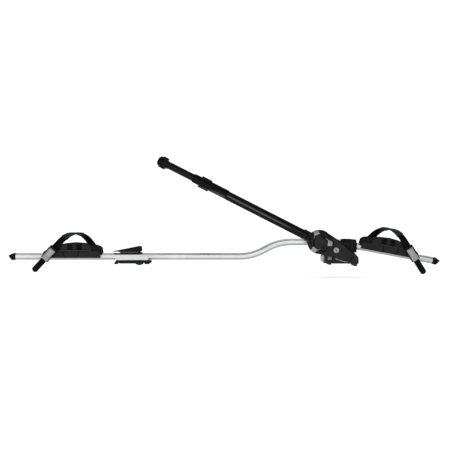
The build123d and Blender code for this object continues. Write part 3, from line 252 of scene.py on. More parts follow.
def make_materials():
    """One finish for each material slot in the record, and a few for details."""
    along_tube = (0.03, 1, 1)
    return {
        "tray_aluminium": surface("anodised_aluminium", (0.45, 0.455, 0.465), (0.38, 0.385, 0.395), 1.0,
                                  (0.3, 0.44), 900, 0.00003, (0.62, 0.63, 0.64), along_tube,
                                  scratches=0.00001),
        "cast_alloy": casting_finish(),
        "arm_black": surface("black_powder_coat", (0.0012, 0.0012, 0.0014), (0.003, 0.003, 0.0034), 0.0,
                             (0.3, 0.4), 1500, 0.00002, (0.02, 0.02, 0.02), specular=0.12),
        "black_plastic": surface("grained_plastic", (0.009, 0.009, 0.0095), (0.014, 0.014, 0.015), 0.0,
                                 (0.45, 0.6), 2600, 0.00005, (0.045, 0.045, 0.048), specular=0.16),
        "holder_plastic": surface("moulded_plastic", (0.0034, 0.0034, 0.0036), (0.006, 0.006, 0.0064), 0.0,
                                  (0.5, 0.66), 2400, 0.00005, (0.03, 0.03, 0.032), specular=0.1),
        "panel_plastic": surface("panel_plastic", (0.0075, 0.0075, 0.008), (0.011, 0.011, 0.0115), 0.0,
                                 (0.42, 0.55), 2600, 0.00004, (0.05, 0.05, 0.052), specular=0.14),
        "seam_shadow": surface("seam_shadow", (0.0006, 0.0006, 0.0006), (0.001, 0.001, 0.001),
                               0.0, (0.8, 0.9), 900, 0.00001, (0.002, 0.002, 0.002), specular=0.0),
        # painted highlight: lighter plastic for the skirt ledges and the collar's lower facets
        "painted_highlight_plastic": surface("painted_highlight_finish", (0.03, 0.03, 0.031), (0.04, 0.04, 0.041), 0.0,
                                 (0.4, 0.5), 2000, 0.00003, (0.07, 0.07, 0.072), specular=0.15),
        # painted highlight for the strip along the arm's groove
        "painted_groove_highlight": surface("painted_groove_highlight", (0.085, 0.085, 0.086), (0.075, 0.075, 0.076), 0.0,
                                (0.3, 0.4), 1600, 0.00002, (0.05, 0.05, 0.052), specular=0.2),
        "dial_plastic": dial_finish(),
        "lock_face": surface("brushed_lock", (0.32, 0.32, 0.325), (0.24, 0.24, 0.245), 0.6, (0.42, 0.6),
                             1600, 0.00003, (0.4, 0.4, 0.4)),
        "deep_black_plastic": surface("smooth_black_plastic", (0.0018, 0.0018, 0.002),
                                      (0.004, 0.004, 0.0044), 0.0, (0.36, 0.52), 2200, 0.00003,
                                      (0.025, 0.025, 0.027), specular=0.07),
        "silver_plastic": surface("silver_plastic", (0.31, 0.315, 0.325), (0.26, 0.265, 0.275), 0.3,
                                  (0.3, 0.42), 2400, 0.00002, (0.36, 0.37, 0.39)),
        "rubber": surface("rubber", (0.013, 0.019, 0.023), (0.02, 0.027, 0.031), 0.0, (0.62, 0.8),
                          1800, 0.00006, (0.045, 0.052, 0.058), specular=0.16),
        "strap_black": surface("strap_rubber", (0.0012, 0.0012, 0.0014), (0.003, 0.003, 0.0034), 0.0,
                               (0.46, 0.6), 2000, 0.00004, (0.016, 0.016, 0.018), specular=0.06),
        "bearing_plastic": surface("bearing_plastic", (0.42, 0.42, 0.39), (0.36, 0.36, 0.34), 0.0,
                                   (0.4, 0.55), 2000, 0.00002, (0.55, 0.55, 0.52)),
        "steel": surface("zinc_steel", (0.42, 0.42, 0.42), (0.34, 0.35, 0.36), 1.0, (0.28, 0.45),
                         1200, 0.00003, (0.65, 0.65, 0.65)),
    }


DIAL_RIM = (0.0326, 0.0334)       # the dial's face turns black outwards over this, in metres
# the black inwards, round the foot of the boss, is painted shade
DIAL_BOSS_SHADE = (0.0232, 0.024)     # and black inwards over this
DIAL_BLACK = (0.0015, 0.0015, 0.0017)
CASTING_BARE_X = -0.034           # the casting is bare behind this and below CASTING_BARE_Z
CASTING_BARE_Z = 0.034
CASTING_COAT = (0.005, 0.005, 0.0053)
COAT_EDGE = 0.0004


def joint_place(name):
    """Where a joint's axis is, in metres."""
    return Vector([j for j in frame["record"]["behaviour"]["joints"] if j["name"] == name][0]["pos_m"])


def dial_finish():
    """Dial plastic: grained grey face between a black outer rim and painted shade round the boss's foot.
    """
    material = surface("dial_plastic", (0.013, 0.013, 0.0135), (0.017, 0.017, 0.018), 0.0, (0.45, 0.6),
                       2600, 0.00005, (0.04, 0.04, 0.042), specular=0.14)
    tree = material.node_tree
    shader = tree.nodes["Principled BSDF"]
    face = shader.inputs["Base Color"].links[0].from_socket
    pivot = joint_place("knob_turn")
    flat = node(tree, "ShaderNodeVectorMath", operation="MULTIPLY")
    tree.links.new(node(tree, "ShaderNodeTexCoord").outputs["Object"], flat.inputs[0])
    flat.inputs[1].default_value = (1, 0, 1)
    reach = node(tree, "ShaderNodeVectorMath", operation="DISTANCE")
    tree.links.new(flat.outputs["Vector"], reach.inputs[0])
    reach.inputs[1].default_value = (pivot.x, 0, pivot.z)
    outer = ramp(tree, reach.outputs["Value"], *DIAL_RIM, 0, 1)
    # painted shade round the foot of the boss
    inner = ramp(tree, reach.outputs["Value"], *DIAL_BOSS_SHADE, 1, 0)
    black = maths(tree, "MAXIMUM", outer, inner)
    tree.links.new(mix(tree, black, face, DIAL_BLACK), shader.inputs["Base Color"])
    return material


def casting_finish():
    """Cast alloy: bare at its low rounded nose, coated black everywhere else."""
    material = surface("cast_alloy", (0.42, 0.425, 0.43), (0.33, 0.335, 0.34), 1.0, (0.36, 0.52),
                       700, 0.00012, (0.6, 0.61, 0.62), specular=0.12)
    tree = material.node_tree
    shader = tree.nodes["Principled BSDF"]
    bare = shader.inputs["Base Color"].links[0].from_socket
    split = node(tree, "ShaderNodeSeparateXYZ")
    tree.links.new(node(tree, "ShaderNodeTexCoord").outputs["Object"], split.inputs[0])
    ahead, above = (ramp(tree, split.outputs[axis], limit - COAT_EDGE, limit + COAT_EDGE, 0, 1)
                    for axis, limit in (("X", CASTING_BARE_X), ("Z", CASTING_BARE_Z)))
    coated = maths(tree, "MAXIMUM", ahead, above)
    tree.links.new(mix(tree, coated, bare, CASTING_COAT), shader.inputs["Base Color"])
    tree.links.new(ramp(tree, coated, 0, 1, 1, 0), shader.inputs["Metallic"])
    return material


# ---------------------------------------------------------------- mesh helpers

def new_piece(name, shapes, matrix, slot, body, *replaced, smooth_angle=35.0, finish=None):
    """Named piece of one or more shapes in millimetres, riding on a body and standing for CAD nodes."""
    mesh = mesh_of(name, shapes, matrix)
    piece = bpy.data.objects.new(name, mesh)
    link(piece)
    mesh.materials.append(MATERIALS[finish or slot])
    shade_by_angle(mesh, smooth_angle)
    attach(piece, body)
    if replaced:
        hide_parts(*replaced)


def shade_by_angle(mesh, angle):
    """Smooth faces, with edges sharper than the angle kept crisp."""
    bm = bmesh.new()
    bm.from_mesh(mesh)
    limit = math.radians(angle)
    for face in bm.faces:
        face.smooth = True
    for edge in bm.edges:
        edge.smooth = len(edge.link_faces) == 2 and edge.calc_face_angle(0) < limit
    bm.to_mesh(mesh)
    bm.free()


WELD_GAP = 0.00002
SHARP_ANGLE = math.radians(32)


def soften(piece, width):
    """Rounded edges on a piece, made by modifiers so that a CAD mesh stays as it is."""
    joined = piece.modifiers.new("weld", "WELD")
    joined.merge_threshold = WELD_GAP
    bevel = piece.modifiers.new("bevel", "BEVEL")
    bevel.width = width
    bevel.segments = 2
    bevel.limit_method = "ANGLE"
    bevel.angle_limit = SHARP_ANGLE
    bevel.harden_normals = True
    bevel.use_clamp_overlap = True


# ---------------------------------------------------------------- the parts that stay as CAD nodes

EDGE_RADIUS = 0.0003
EDGE_RADII = {
    "tray_tube": 0.0, "base_shell": 0.0006, "side_cover": 0.0008, "tube_clamp": 0.0007,
    "foot_saddle": 0.0006, "foot_liner": 0.0004, "cam_lever": 0.0006, "jaw_head": 0.002,
    "lower_jaw": 0.0025, "arm_root": 0.0005,
}
BLACKENED = ("cam_pin", "cam_lever", "clamp_bolts", "rod_nut", "t_plate", "draw_rod", "arm_root_screws")
OTHER_FINISH = {
    "lock_cylinder": "lock_face", "rear_holder": "holder_plastic", "front_holder": "holder_plastic",
    "tube_clamp": "holder_plastic", "foot_liner": "tray_aluminium",
}


def finish_cad_nodes():
    """Every CAD node gets its slot's finish and rounded edges; screws in black parts are blackened."""
    slots = {entry["node"]: entry["material_slot"] for entry in frame["record"]["subparts"]}
    for name, piece in frame["nodes"].items():
        piece.data.materials.clear()
        finish = "deep_black_plastic" if name in BLACKENED else OTHER_FINISH.get(name, slots[name])
        piece.data.materials.append(MATERIALS[finish])
        radius = EDGE_RADII.get(name, EDGE_RADIUS)
        if radius:
            soften(piece, radius)


# ---------------------------------------------------------------- wheel holder frames, in millimetres

MM = 0.001
CRADLE_HEIGHT = 18.0         # from the tube's centre line up to the cradle mount
BUCKLE_ANGLE = math.radians(47.6)
BUCKLE_PLACE = Vector((77.5, -42.0, 10.4))
STRAP_HALF = 42.0
STRAP_SHOULDER = 48.0
STRAP_RISE = 32.0
STRAP_EASE = 0.00066
EAR_Z = 30.0
STRAP_HALF_WIDTH = 11.4
STRAP_HALF_THICKNESS = 1.45
TAIL_LENGTH = 82.0
TAIL_NARROWING = 0.9         # the tail is this much narrower on each side
STRAP_STATION = 0.62         # spacing of the strap's cross-sections
TOOTH_PITCH = 3.1
TOOTH_HEIGHT = 0.55
PLAIN_TAIL = 9               # the strap is smooth this near to its tail end
PLAIN_END = 16               # and this near to its rivet
SLEEVE_ENDS = (7 / 22, 15 / 22)      # parts of the strap's loop
SLEEVE_STATIONS = 110
SLEEVE_HALF = 13.0
SLEEVE_BORE_HALF = 11.6
SLEEVE_BORE = 1.65
SLEEVE_RIBS = (0.3, 0.5, 0.7)
NUB_FROM_END = 6.0
NEAR_LEG = STRAP_SHOULDER - BUCKLE_PLACE.z
FAR_LEG = STRAP_SHOULDER - EAR_Z
PITCH = 1 / math.tan(BUCKLE_ANGLE)


def mount(name):
    return [m for m in frame["record"]["mounts"] if m["name"] == name][0]


def holder_frame(end):
    """From a wheel holder's own frame in millimetres to the row frame; the rear one is mirrored."""
    cradle = mount(f"{end}_wheel_cradle")
    up = Vector(cradle["axis"])
    centre = Vector(cradle["pos_m"]) - up * CRADLE_HEIGHT * MM
    outward = Vector((up.z, 0, -up.x)) * (-1 if end == "rear" else 1)
    return frame_matrix(centre, outward, Vector((0, 1, 0)), up)


def axes_matrix(centre, *axes):
    """Matrix with those three axes, about a centre."""
    matrix = Matrix.Identity(4)
    for column, vector in enumerate((*axes, centre)):
        for row in range(3):
            matrix[row][column] = vector[row]
    return matrix


def frame_matrix(centre, *axes):
    """The same, from millimetres to metres."""
    return axes_matrix(centre, *(axis * MM for axis in axes))


def mesh_of(name, shapes, matrix):
    """Mesh from shapes in millimetres through a matrix, with its faces kept outward when mirrored."""
    points, faces = merge_parts(shapes)
    mesh = bpy.data.meshes.new(name)
    mesh.from_pydata([matrix @ Vector(p) for p in points], [], faces)
    bm = bmesh.new()
    bm.from_mesh(mesh)
    bmesh.ops.remove_doubles(bm, verts=bm.verts, dist=0.000001)
    bmesh.ops.recalc_face_normals(bm, faces=bm.faces)
    bm.to_mesh(mesh)
    bm.free()
    return mesh


def ring_faces(count, rings, first=0):
    """Quads between successive closed rings of points."""
    faces = []
    for ring in range(rings - 1):
        for index in range(count):
            after = (index + 1) % count
            a = first + ring * count
            b = a + count
            faces.append((a + index, a + after, b + after, b + index))
    return faces


def tube_of_rings(rings):
    """Points and faces of a solid through closed rings of equal count."""
    count = len(rings[0])
    points = [p for ring in rings for p in ring]
    faces = ring_faces(count, len(rings))
    faces.append(tuple(reversed(range(count))))
    faces.append(tuple(range(len(points) - count, len(points))))
    return points, faces


def merge_parts(parts):
    """One list of points and faces from several."""
    points, faces = [], []
    for more_points, more_faces in parts:
        base = len(points)
        points += [Vector(p) for p in more_points]
        faces += [tuple(base + i for i in face) for face in more_faces]
    return points, faces


def rounded_box(low, high, radius, segments=3, matrix=Matrix.Identity(4)):
    """Box with every edge rounded, through a matrix."""
    bm = bmesh.new()
    bmesh.ops.create_cube(bm, size=1.0)
    low, high = Vector(low), Vector(high)
    for vertex in bm.verts:
        for axis in range(3):
            vertex.co[axis] = low[axis] if vertex.co[axis] < 0 else high[axis]
    bmesh.ops.bevel(bm, geom=bm.edges[:], offset=radius, segments=segments, affect="EDGES", profile=0.5)
    bm.verts.ensure_lookup_table()
    points = [matrix @ v.co for v in bm.verts]
    faces = [tuple(v.index for v in f.verts) for f in bm.faces]
    bm.free()
    return points, faces


# ---------------------------------------------------------------- strap

def arch_table(steps=400):
    """Running length along the arch over the tyre, for evenly spaced turns from 0 to half a turn."""
    lengths = [0.0]
    for index in range(steps):
        turn = math.pi * (index + 0.5) / steps
        step = math.hypot(STRAP_HALF * math.sin(turn), STRAP_RISE * math.cos(turn)) * math.pi / steps
        lengths.append(lengths[-1] + step)
    return lengths


ARCH = arch_table()


def arch_point(run):
    """Sideways and upward place on the arch at a length along it."""
    index = 1
    while index < len(ARCH) - 1 and ARCH[index] < run:
        index += 1
    part = (run - ARCH[index - 1]) / (ARCH[index] - ARCH[index - 1])
    turn = math.pi * (index - 1 + part) / (len(ARCH) - 1)
    return -STRAP_HALF * math.cos(turn), STRAP_SHOULDER + STRAP_RISE * math.sin(turn)


def strap_point(run):
    """Centre line of the strap at a length round its loop; below zero it is the tail."""
    x = BUCKLE_PLACE.x - PITCH * run + STRAP_EASE * max(0.0, run - NEAR_LEG) ** 2
    if run <= NEAR_LEG:
        return Vector((x, -STRAP_HALF, BUCKLE_PLACE.z + run))
    if run >= NEAR_LEG + ARCH[-1]:
        return Vector((x, STRAP_HALF, STRAP_SHOULDER - (run - NEAR_LEG - ARCH[-1])))
    across, height = arch_point(run - NEAR_LEG)
    return Vector((x, across, height))


def strap_axes(run):
    """Directions across the strap and out of its face."""
    ahead = (strap_point(run + 0.4) - strap_point(run - 0.4)).normalized()
    around = Vector((0, ahead.y, ahead.z)).normalized()
    out = Vector((0, -around.z, around.y))
    return ahead.cross(out).normalized(), out


def band_ring(run, half_width, inner, outer, round_edge, ridge=0.0, margin=2.2):
    """Cross-section of a band: a flat rounded strip with a raised middle on its outer face."""
    across, out = strap_axes(run)
    here = strap_point(run)
    step = min(round_edge, half_width * 0.45)
    shoulder = max(half_width - step - margin, half_width * 0.3)
    section = [
        (-half_width, inner + step), (-half_width + step, inner), (half_width - step, inner),
        (half_width, inner + step), (half_width, outer - step), (half_width - step, outer),
        (shoulder + 0.4, outer), (shoulder, outer + ridge), (0, outer + ridge * 1.05),
        (-shoulder, outer + ridge), (-shoulder - 0.4, outer), (-half_width + step, outer),
        (-half_width, outer - step),
    ]
    return [here + across * u + out * v for u, v in section]


def tooth(run):
    """Height of rounded transverse ribs along the strap."""
    phase = (run / TOOTH_PITCH) % 1.0
    return TOOTH_HEIGHT * max(0.0, math.sin(math.pi * min(1.0, phase / 0.62))) ** 0.7


def strap_piece(end):
    """Ribbed strap from the round end of its tail, through the buckle, over the tyre to its rivet."""
    stretch = math.hypot(1, PITCH)
    tail_end = -TAIL_LENGTH / stretch
    far_end = NEAR_LEG + ARCH[-1] + FAR_LEG
    rings = []
    run = tail_end
    step = STRAP_STATION / stretch
    while run <= far_end + STRAP_HALF_WIDTH / stretch:
        from_tail = (run - tail_end) * stretch
        from_far = (far_end - run) * stretch + STRAP_HALF_WIDTH
        nose = min(from_tail, from_far, STRAP_HALF_WIDTH)
        half = math.sqrt(max(0.16, STRAP_HALF_WIDTH ** 2 - (STRAP_HALF_WIDTH - nose) ** 2))
        half = min(half, STRAP_HALF_WIDTH if run > 0 else STRAP_HALF_WIDTH - TAIL_NARROWING)
        ribbed = from_tail > PLAIN_TAIL and run < far_end - PLAIN_END
        ridge = tooth(run * stretch) if ribbed else 0.0
        rings.append(band_ring(run, half, -STRAP_HALF_THICKNESS, STRAP_HALF_THICKNESS - 0.35, 0.7,
                               ridge))
        run += step
    new_piece(f"{end}_strap_band", [tube_of_rings(rings)], holder_frame(end), "strap_black",
              f"{end}_wheel_holder", f"{end}_strap", smooth_angle=50)


def sleeve_piece(end):
    """Soft sleeve on the strap's top with thick lips, cross ribs and a small pull nub."""
    loop = NEAR_LEG + ARCH[-1] + FAR_LEG
    first, last = (loop * part for part in SLEEVE_ENDS)
    outer_rings, inner_rings = [], []
    for index in range(SLEEVE_STATIONS + 1):
        run = first + (last - first) * index / SLEEVE_STATIONS
        from_end = min(run - first, last - run)
        lip = 0.75 * math.exp(-((from_end - 2.0) / 1.7) ** 2)
        rib = 0.0
        for place in SLEEVE_RIBS:
            gap = (index / SLEEVE_STATIONS - place) * (last - first)
            rib += 0.5 * math.exp(-(gap / 1.5) ** 2)
        rise = 2.6 + lip * 0.6 + rib
        outer_rings.append(band_ring(run, SLEEVE_HALF + lip * 0.35, -2.75 - lip * 0.3, rise, 1.3, 0.25,
                                     3.0))
        inner_rings.append(band_ring(run, SLEEVE_BORE_HALF, -SLEEVE_BORE, SLEEVE_BORE, 0.5))
    ring = len(outer_rings[0])
    points = [p for r in outer_rings + inner_rings for p in r]
    inner_first = len(outer_rings) * ring
    faces = ring_faces(ring, len(outer_rings)) + ring_faces(ring, len(inner_rings), inner_first)
    for a, b in ((0, inner_first), (inner_first - ring, len(points) - ring)):
        for index in range(ring):
            after = (index + 1) % ring
            faces.append((a + index, a + after, b + after, b + index))
    run = first + NUB_FROM_END
    across, out = strap_axes(run)
    ahead = (strap_point(run + 1) - strap_point(run - 1)).normalized()
    spot = axes_matrix(strap_point(run), across, ahead, out)
    nub = rounded_box((-4.5, -2.2, 2.2), (4.5, 2.2, 4.6), 0.9, 3, spot)
    new_piece(f"{end}_sleeve", [(points, faces), nub], holder_frame(end), "rubber",
              f"{end}_wheel_holder", f"{end}_strap_sleeve", smooth_angle=50)


# ---------------------------------------------------------------- wheel holder trim

WALL_FACE_Y = 28.5
SKIRT_FACE_Y = 31.0
PANEL_HEIGHT = 0.55
SKIRT_PANELS = (
    [(28.2, -3.6), (35.4, 18), (73, 18), (73, -3.6)],
    [(-15.8, -3.6), (-20.8, 18), (32.0, 18), (24.8, -3.6)],
    [(-93, -3.6), (-93, 17), (-24.4, 18), (-19.4, -3.6)],
)
# dark strips of painted shade in the grooves between the skirt's panels
SKIRT_SEAM_SHADE_STRIPS = (
    [(25.0, -4.2), (32.4, 19), (35.2, 19), (27.8, -4.2)],
    [(-19.0, -4.2), (-24.0, 19), (-21.2, 19), (-16.2, -4.2)],
)
WALL_PANELS = (
    [(18.5, 23), (18.5, 44.2), (24, 44), (38, 39.5), (42, 31), (43, 23)],
    [(-12, 23), (-10.5, 45), (-1.5, 46), (0.5, 23)],
    [(-31.5, 23), (-31.5, 44), (-36, 44), (-49, 41.5), (-60, 35), (-62, 23)],
)
# dark plates of painted shade on the floors of the wall's slots
WALL_SLOT_SHADE_PLATES = [[(low, 22.2), (low, 42.6), (high, 42.6), (high, 22.2)]
              for low, high in ((2.4, 16.1), (-29.1, -14.4))]
# the ledge gets a painted highlight
LEDGE = [(-64, 19.4), (-64, 21.4), (52, 21.4), (52, 19.4)]


def raised_panel(corners, base_y, side, height=PANEL_HEIGHT, inset=0.5):
    """Raised flat panel with a chamfered rim on a wall that faces sideways."""
    centre = sum((Vector((x, 0, z)) for x, z in corners), Vector()) / len(corners)
    rings = []
    for shrink, rise in ((0.0, -0.6), (0.0, height - inset * 0.8), (inset, height)):
        ring = []
        for x, z in corners:
            away = Vector((x, 0, z)) - centre
            place = centre + away * max(0.0, 1 - shrink / max(away.length, 0.01))
            ring.append((place.x, side * (base_y + rise), place.z))
        rings.append(ring)
    return tube_of_rings(rings)


def holder_trim(end):
    """Wall panels between the slots, a ledge over the skirt with a painted highlight, the skirt's plain
    panels, and dark plates of painted shade in the slots and the skirt's seams.
    """
    panels, ledge_highlights, slots = [], [], []
    for side in (-1, 1):
        panels += [raised_panel(corners, WALL_FACE_Y, side) for corners in WALL_PANELS]
        panels += [raised_panel(corners, SKIRT_FACE_Y, side, 0.35, 0.3) for corners in SKIRT_PANELS]
        # ledge with a painted highlight
        ledge_highlights.append(raised_panel(LEDGE, SKIRT_FACE_Y - 1.0, side, 1.0, 0.3))
        # painted shade: dark plates in the slots and dark strips in the skirt's seams
        slots += [raised_panel(corners, WALL_FACE_Y - 3.0, side, 0.3, 0.2) for corners in WALL_SLOT_SHADE_PLATES]
        slots += [raised_panel(corners, SKIRT_FACE_Y, side, 0.25, 0.1) for corners in SKIRT_SEAM_SHADE_STRIPS]
    for name, shapes, finish in (("ledge_highlights", ledge_highlights, "painted_highlight_plastic"), ("slots", slots, "strap_black"),
                                 ("panels", panels, "panel_plastic")):
        new_piece(f"{end}_holder_{name}", shapes, holder_frame(end), "black_plastic",
                  f"{end}_wheel_holder", smooth_angle=20, finish=finish)


# ---------------------------------------------------------------- buckle, in its own frame

def buckle_matrix(end):
    """+X down the strap's tail, +Z away from the wheel holder."""
    x_axis = Vector((math.cos(BUCKLE_ANGLE), 0, -math.sin(BUCKLE_ANGLE)))
    z_axis = Vector((0, -1, 0))
    return holder_frame(end) @ axes_matrix(BUCKLE_PLACE, x_axis, z_axis.cross(x_axis), z_axis)


LEVER_LOW_X = -19.4
LEVER_HIGH_X = 27.0
LEVER_HALF = 11.9
LEVER_STATIONS = 120
LEVER_NOSE = 7.0             # length over which the free end narrows
LEVER_HEEL = 6.5             # length over which the pinned end rounds down, clear of the head bar
THUMB_RIDGES = (0.68, 0.95)  # where the ridges start and end, as parts of the lever's length
LEVER_UNDERSIDE = ((-19.6, 4.9), (-16.5, 2.6), (-13, 2.6), (-8, 5.0))


def lever_underside(x):
    """Height of the lever's underside: round under its pin, then hollow."""
    for (left, low), (right, high) in zip(LEVER_UNDERSIDE, LEVER_UNDERSIDE[1:]):
        if x <= right:
            return low + (high - low) * max(0.0, x - left) / (right - left)
    return LEVER_UNDERSIDE[-1][1]


def lever_piece(end):
    """Bowed silver lever: domed across, waisted in the middle, with thumb ridges at its free end."""
    rings = []
    length = LEVER_HIGH_X - LEVER_LOW_X
    first_ridge, last_ridge = THUMB_RIDGES
    for index in range(LEVER_STATIONS + 1):
        t = index / LEVER_STATIONS
        x = LEVER_LOW_X + length * t
        nose = min(1.0, (1 - t) * length / LEVER_NOSE)
        heel = min(1.0, t * length / LEVER_HEEL)
        half = LEVER_HALF * (0.80 + 0.20 * math.sqrt(max(0.0, 1 - (1 - nose) ** 2)))
        half -= 0.7 * math.exp(-((t - 0.45) / 0.16) ** 2)
        top = 8.6 + 3.3 * math.sqrt(max(0.0, 1 - (1 - heel) ** 2))
        top -= 4.6 * max(0.0, (t - 0.62) / 0.38) ** 1.5
        if first_ridge < t < last_ridge:
            top += 0.45 * max(0.0, math.sin((t - first_ridge) / 0.27 * math.pi * 9))
        bottom = lever_underside(x)
        ring = [(x, -half, bottom), (x, -half, top - 2.6)]
        for part in range(1, 12):
            angle = math.pi * part / 12
            ring.append((x, -half * math.cos(angle) * 0.995, top - 2.6 + 2.6 * math.sin(angle)))
        ring += [(x, half, top - 2.6), (x, half, bottom)]
        rings.append(ring)
    new_piece(f"{end}_lever", [tube_of_rings(rings)], buckle_matrix(end), "silver_plastic",
              f"{end}_buckle", f"{end}_buckle_lever", smooth_angle=40)


def buckle_details(end):
    """Finger ribs on the buckle frame's head bar, and a rib down each cheek."""
    parts = []
    for index in range(4):
        y = -9 + 6 * index
        parts.append(rounded_box((-27.4, y - 1.1, 8.6), (-22.6, y + 1.1, 11.7), 0.5, 2))
    for side in (-1, 1):
        y = side * 14.2
        parts.append(rounded_box((-20, y - 1.2, 8.2), (11, y + 1.2, 9.9), 0.5, 2))
    new_piece(f"{end}_buckle_ribs", parts, buckle_matrix(end), "deep_black_plastic",
              f"{end}_wheel_holder")


# ---------------------------------------------------------------- base trim

COVER_FACE_Y = -72.0
RIM_BACK_Y = -58.0
# line of the painted highlight along the cover's lower edge
COVER_EDGE_HIGHLIGHT = [(-29, 19.4), (-25.6, 18.2), (-22, 16.5), (-17, 14.6), (-10, 12.2), (-3, 10.2), (6, 8.0),
              (16, 6.2)]
# outline of the painted shade on the chamfer along the cover's upper edge
COVER_RIM_SHADE = [(-66, 111.2), (-62.5, 112), (-10.5, 78), (42.5, 34), (40.5, 31.5), (-13, 72), (-62, 104)]
COVER_SEAM = [(35.5, 30.2), (31, 23.6), (26, 16.5), (19.5, 7.2)]
BEAD_SIDES = 10


def bead(points_xz, y, radius, depth=1.0):
    """Round bead along a line in a plane of constant Y, in millimetres of the row frame."""
    rings = []
    count = len(points_xz)
    for index, (x, z) in enumerate(points_xz):
        before = Vector(points_xz[max(0, index - 1)])
        after = Vector(points_xz[min(count - 1, index + 1)])
        along = (after - before).normalized()
        taper = radius * (0.35 if index in (0, count - 1) else 1.0)
        ring = []
        for part in range(BEAD_SIDES):
            bend = 2 * math.pi * part / BEAD_SIDES
            side = taper * math.cos(bend)
            ring.append((x - along.y * side, y + taper * depth * math.sin(bend), z + along.x * side))
        rings.append(ring)
    return tube_of_rings(rings)


def base_trim():
    """Painted highlight bead on the cover's lower edge, a rim of painted shade on its upper edge, and the
    seam over the foot.
    """
    row = Matrix.Scale(MM, 4)
    rim = tube_of_rings([[(x, y, z) for x, z in COVER_RIM_SHADE] for y in (COVER_FACE_Y + 1.2, RIM_BACK_Y)])
    # painted highlight: silver bead where the cover's lower edge catches the light
    new_piece("cover_edge_highlight", [bead(COVER_EDGE_HIGHLIGHT, COVER_FACE_Y - 0.2, 1.05)], row, "silver_plastic",
              "tray")
    # painted shade: black band on the chamfer along the cover's upper edge
    new_piece("cover_rim_shade", [rim], row, "deep_black_plastic", "tray")
    new_piece("cover_seam", [bead(COVER_SEAM, COVER_FACE_Y, 1.5, 0.25)], row, "deep_black_plastic",
              "tray", finish="seam_shadow")


# ---------------------------------------------------------------- arm trim

ARM_SLOPE = math.radians(27)
STRIP_STEPS = 10
STRIP_SINK = 0.4
# stations of the painted highlight strip along the arm's groove
GROOVE_HIGHLIGHT = [(104, -12.5, -11.5), (112, -15, -9), (130, -18, -5), (200, -20, -3), (351.8, -20, -3)]
# stations of the painted highlights on the collar's lower facets
COLLAR_FACET_HIGHLIGHT = [(358, -80, -24), (392, -83, -24), (415, -85, -44), (442, -87, -80)]
RAIL_SECTION = [(-9, -10.6), (-8.6, -14.4), (-6.6, -16.6), (6.6, -16.6), (8.6, -14.4), (9, -10.6)]
RAIL_ENDS = (62.6, 351.6)


def arm_matrix():
    """X along the arm from its pivot, Y as the row frame's, Z square to both and up, in millimetres."""
    pivot = joint_place("arm_pivot")
    middle = sum(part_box("arm_tube"), Vector()) / 2
    along = Vector((-math.cos(ARM_SLOPE), 0, math.sin(ARM_SLOPE)))
    upward = Vector((math.sin(ARM_SLOPE), 0, math.cos(ARM_SLOPE)))
    return frame_matrix(Vector((pivot.x, middle.y, pivot.z)), along, Vector((0, 1, 0)), upward)


def arc_row(along, radius, low, high):
    """Points round the arm between two angles in degrees, 0 facing -Y."""
    angles = [math.radians(low + (high - low) * step / STRIP_STEPS) for step in range(STRIP_STEPS + 1)]
    return [(along, -radius * math.cos(angle), radius * math.sin(angle)) for angle in angles]


def surface_strip(stations, radius, lift):
    """Thin strip on a round tube; each station gives a place along it and two angles."""
    return tube_of_rings([
        arc_row(along, radius + lift, low, high) + arc_row(along, radius - STRIP_SINK, low, high)[::-1]
        for along, low, high in stations])


def both_sides(stations, radius, lift):
    """A strip on the camera's side of the arm and its mirror image on the far side."""
    far = [(along, 180 - low, 180 - high) for along, low, high in stations]
    return [surface_strip(stations, radius, lift), surface_strip(far, radius, lift)]


def arm_trim():
    """Painted highlight strip along the groove down each side of the outer tube, painted highlights on the
    collar's lower facets, and a rail.
    """
    # painted highlight along the groove
    new_piece("arm_groove_highlights", both_sides(GROOVE_HIGHLIGHT, 14.3, 0.2), arm_matrix(), "arm_black", "arm",
              finish="painted_groove_highlight")
    # painted highlights on the collar's lower facets
    new_piece("collar_facet_highlights", both_sides(COLLAR_FACET_HIGHLIGHT, 16.3, 0.25), arm_matrix(), "deep_black_plastic",
              "arm", finish="painted_highlight_plastic")
    rail = tube_of_rings([[(x, y, z) for y, z in RAIL_SECTION] for x in RAIL_ENDS])
    new_piece("arm_underside_rail", [rail], arm_matrix(), "arm_black", "arm")


# ---------------------------------------------------------------- knob, about the arm's pivot

GRIP_ANGLES = (112, -8, 232)
KNOB_RADIUS = 36.9
GRIP_RADIUS = 42.4
GRIP_BACK = -22.5
DIAL_SIDES = 216
HOLLOW_DEPTH = 5.6
HOLLOW_REACH = 27.2          # from the knob's middle to the middle of a finger hollow
HOLLOW_HALF_DEPTH = 7.6      # half sizes of a hollow, outwards and along the rim
HOLLOW_HALF_LENGTH = 19.5
RIM_DROP = 2.6
DIAL_STEPS = 64
DIAL_BACK = ((KNOB_RADIUS, -22.0), (KNOB_RADIUS - 0.6, -22.9), (KNOB_RADIUS - 3.4, -22.9),
             (KNOB_RADIUS - 4.0, -22.0), (KNOB_RADIUS - 4.0, -12.0), (11, -12.0), (11, -22.9),
             (6.0, -22.9), (6.0, -12.0))
BOSS_SIDES = 180
BOSS_FLAT = 18.6             # from the knob's middle to the middle of a side
BOSS_CORNER = 27.5
BOSS_SOFTNESS = 1.6
BOSS_LEVELS = ((1.0, -0.6), (1.0, 3.0), (0.985, 4.0), (0.95, 4.7), (0.9, 4.95), (0.8, 5.0), (0.62, 4.85),
               (0.45, 4.5), (0.25, 4.3), (0.02, 4.25))
GRIP_STATIONS = ((26.0, 9.6, 3.0), (26.6, 9.9, 4.9), (28, 9.8, 5.3), (31, 9.2, 4.8), (35, 8.7, 3.6),
                 (38.5, 8.3, 2.2), (41.0, 7.4, 0.6), (42.1, 6.4, -1.4), (GRIP_RADIUS, 5.8, -2.6))
SPUR_STEPS = 18
SPUR_SIDES = 12


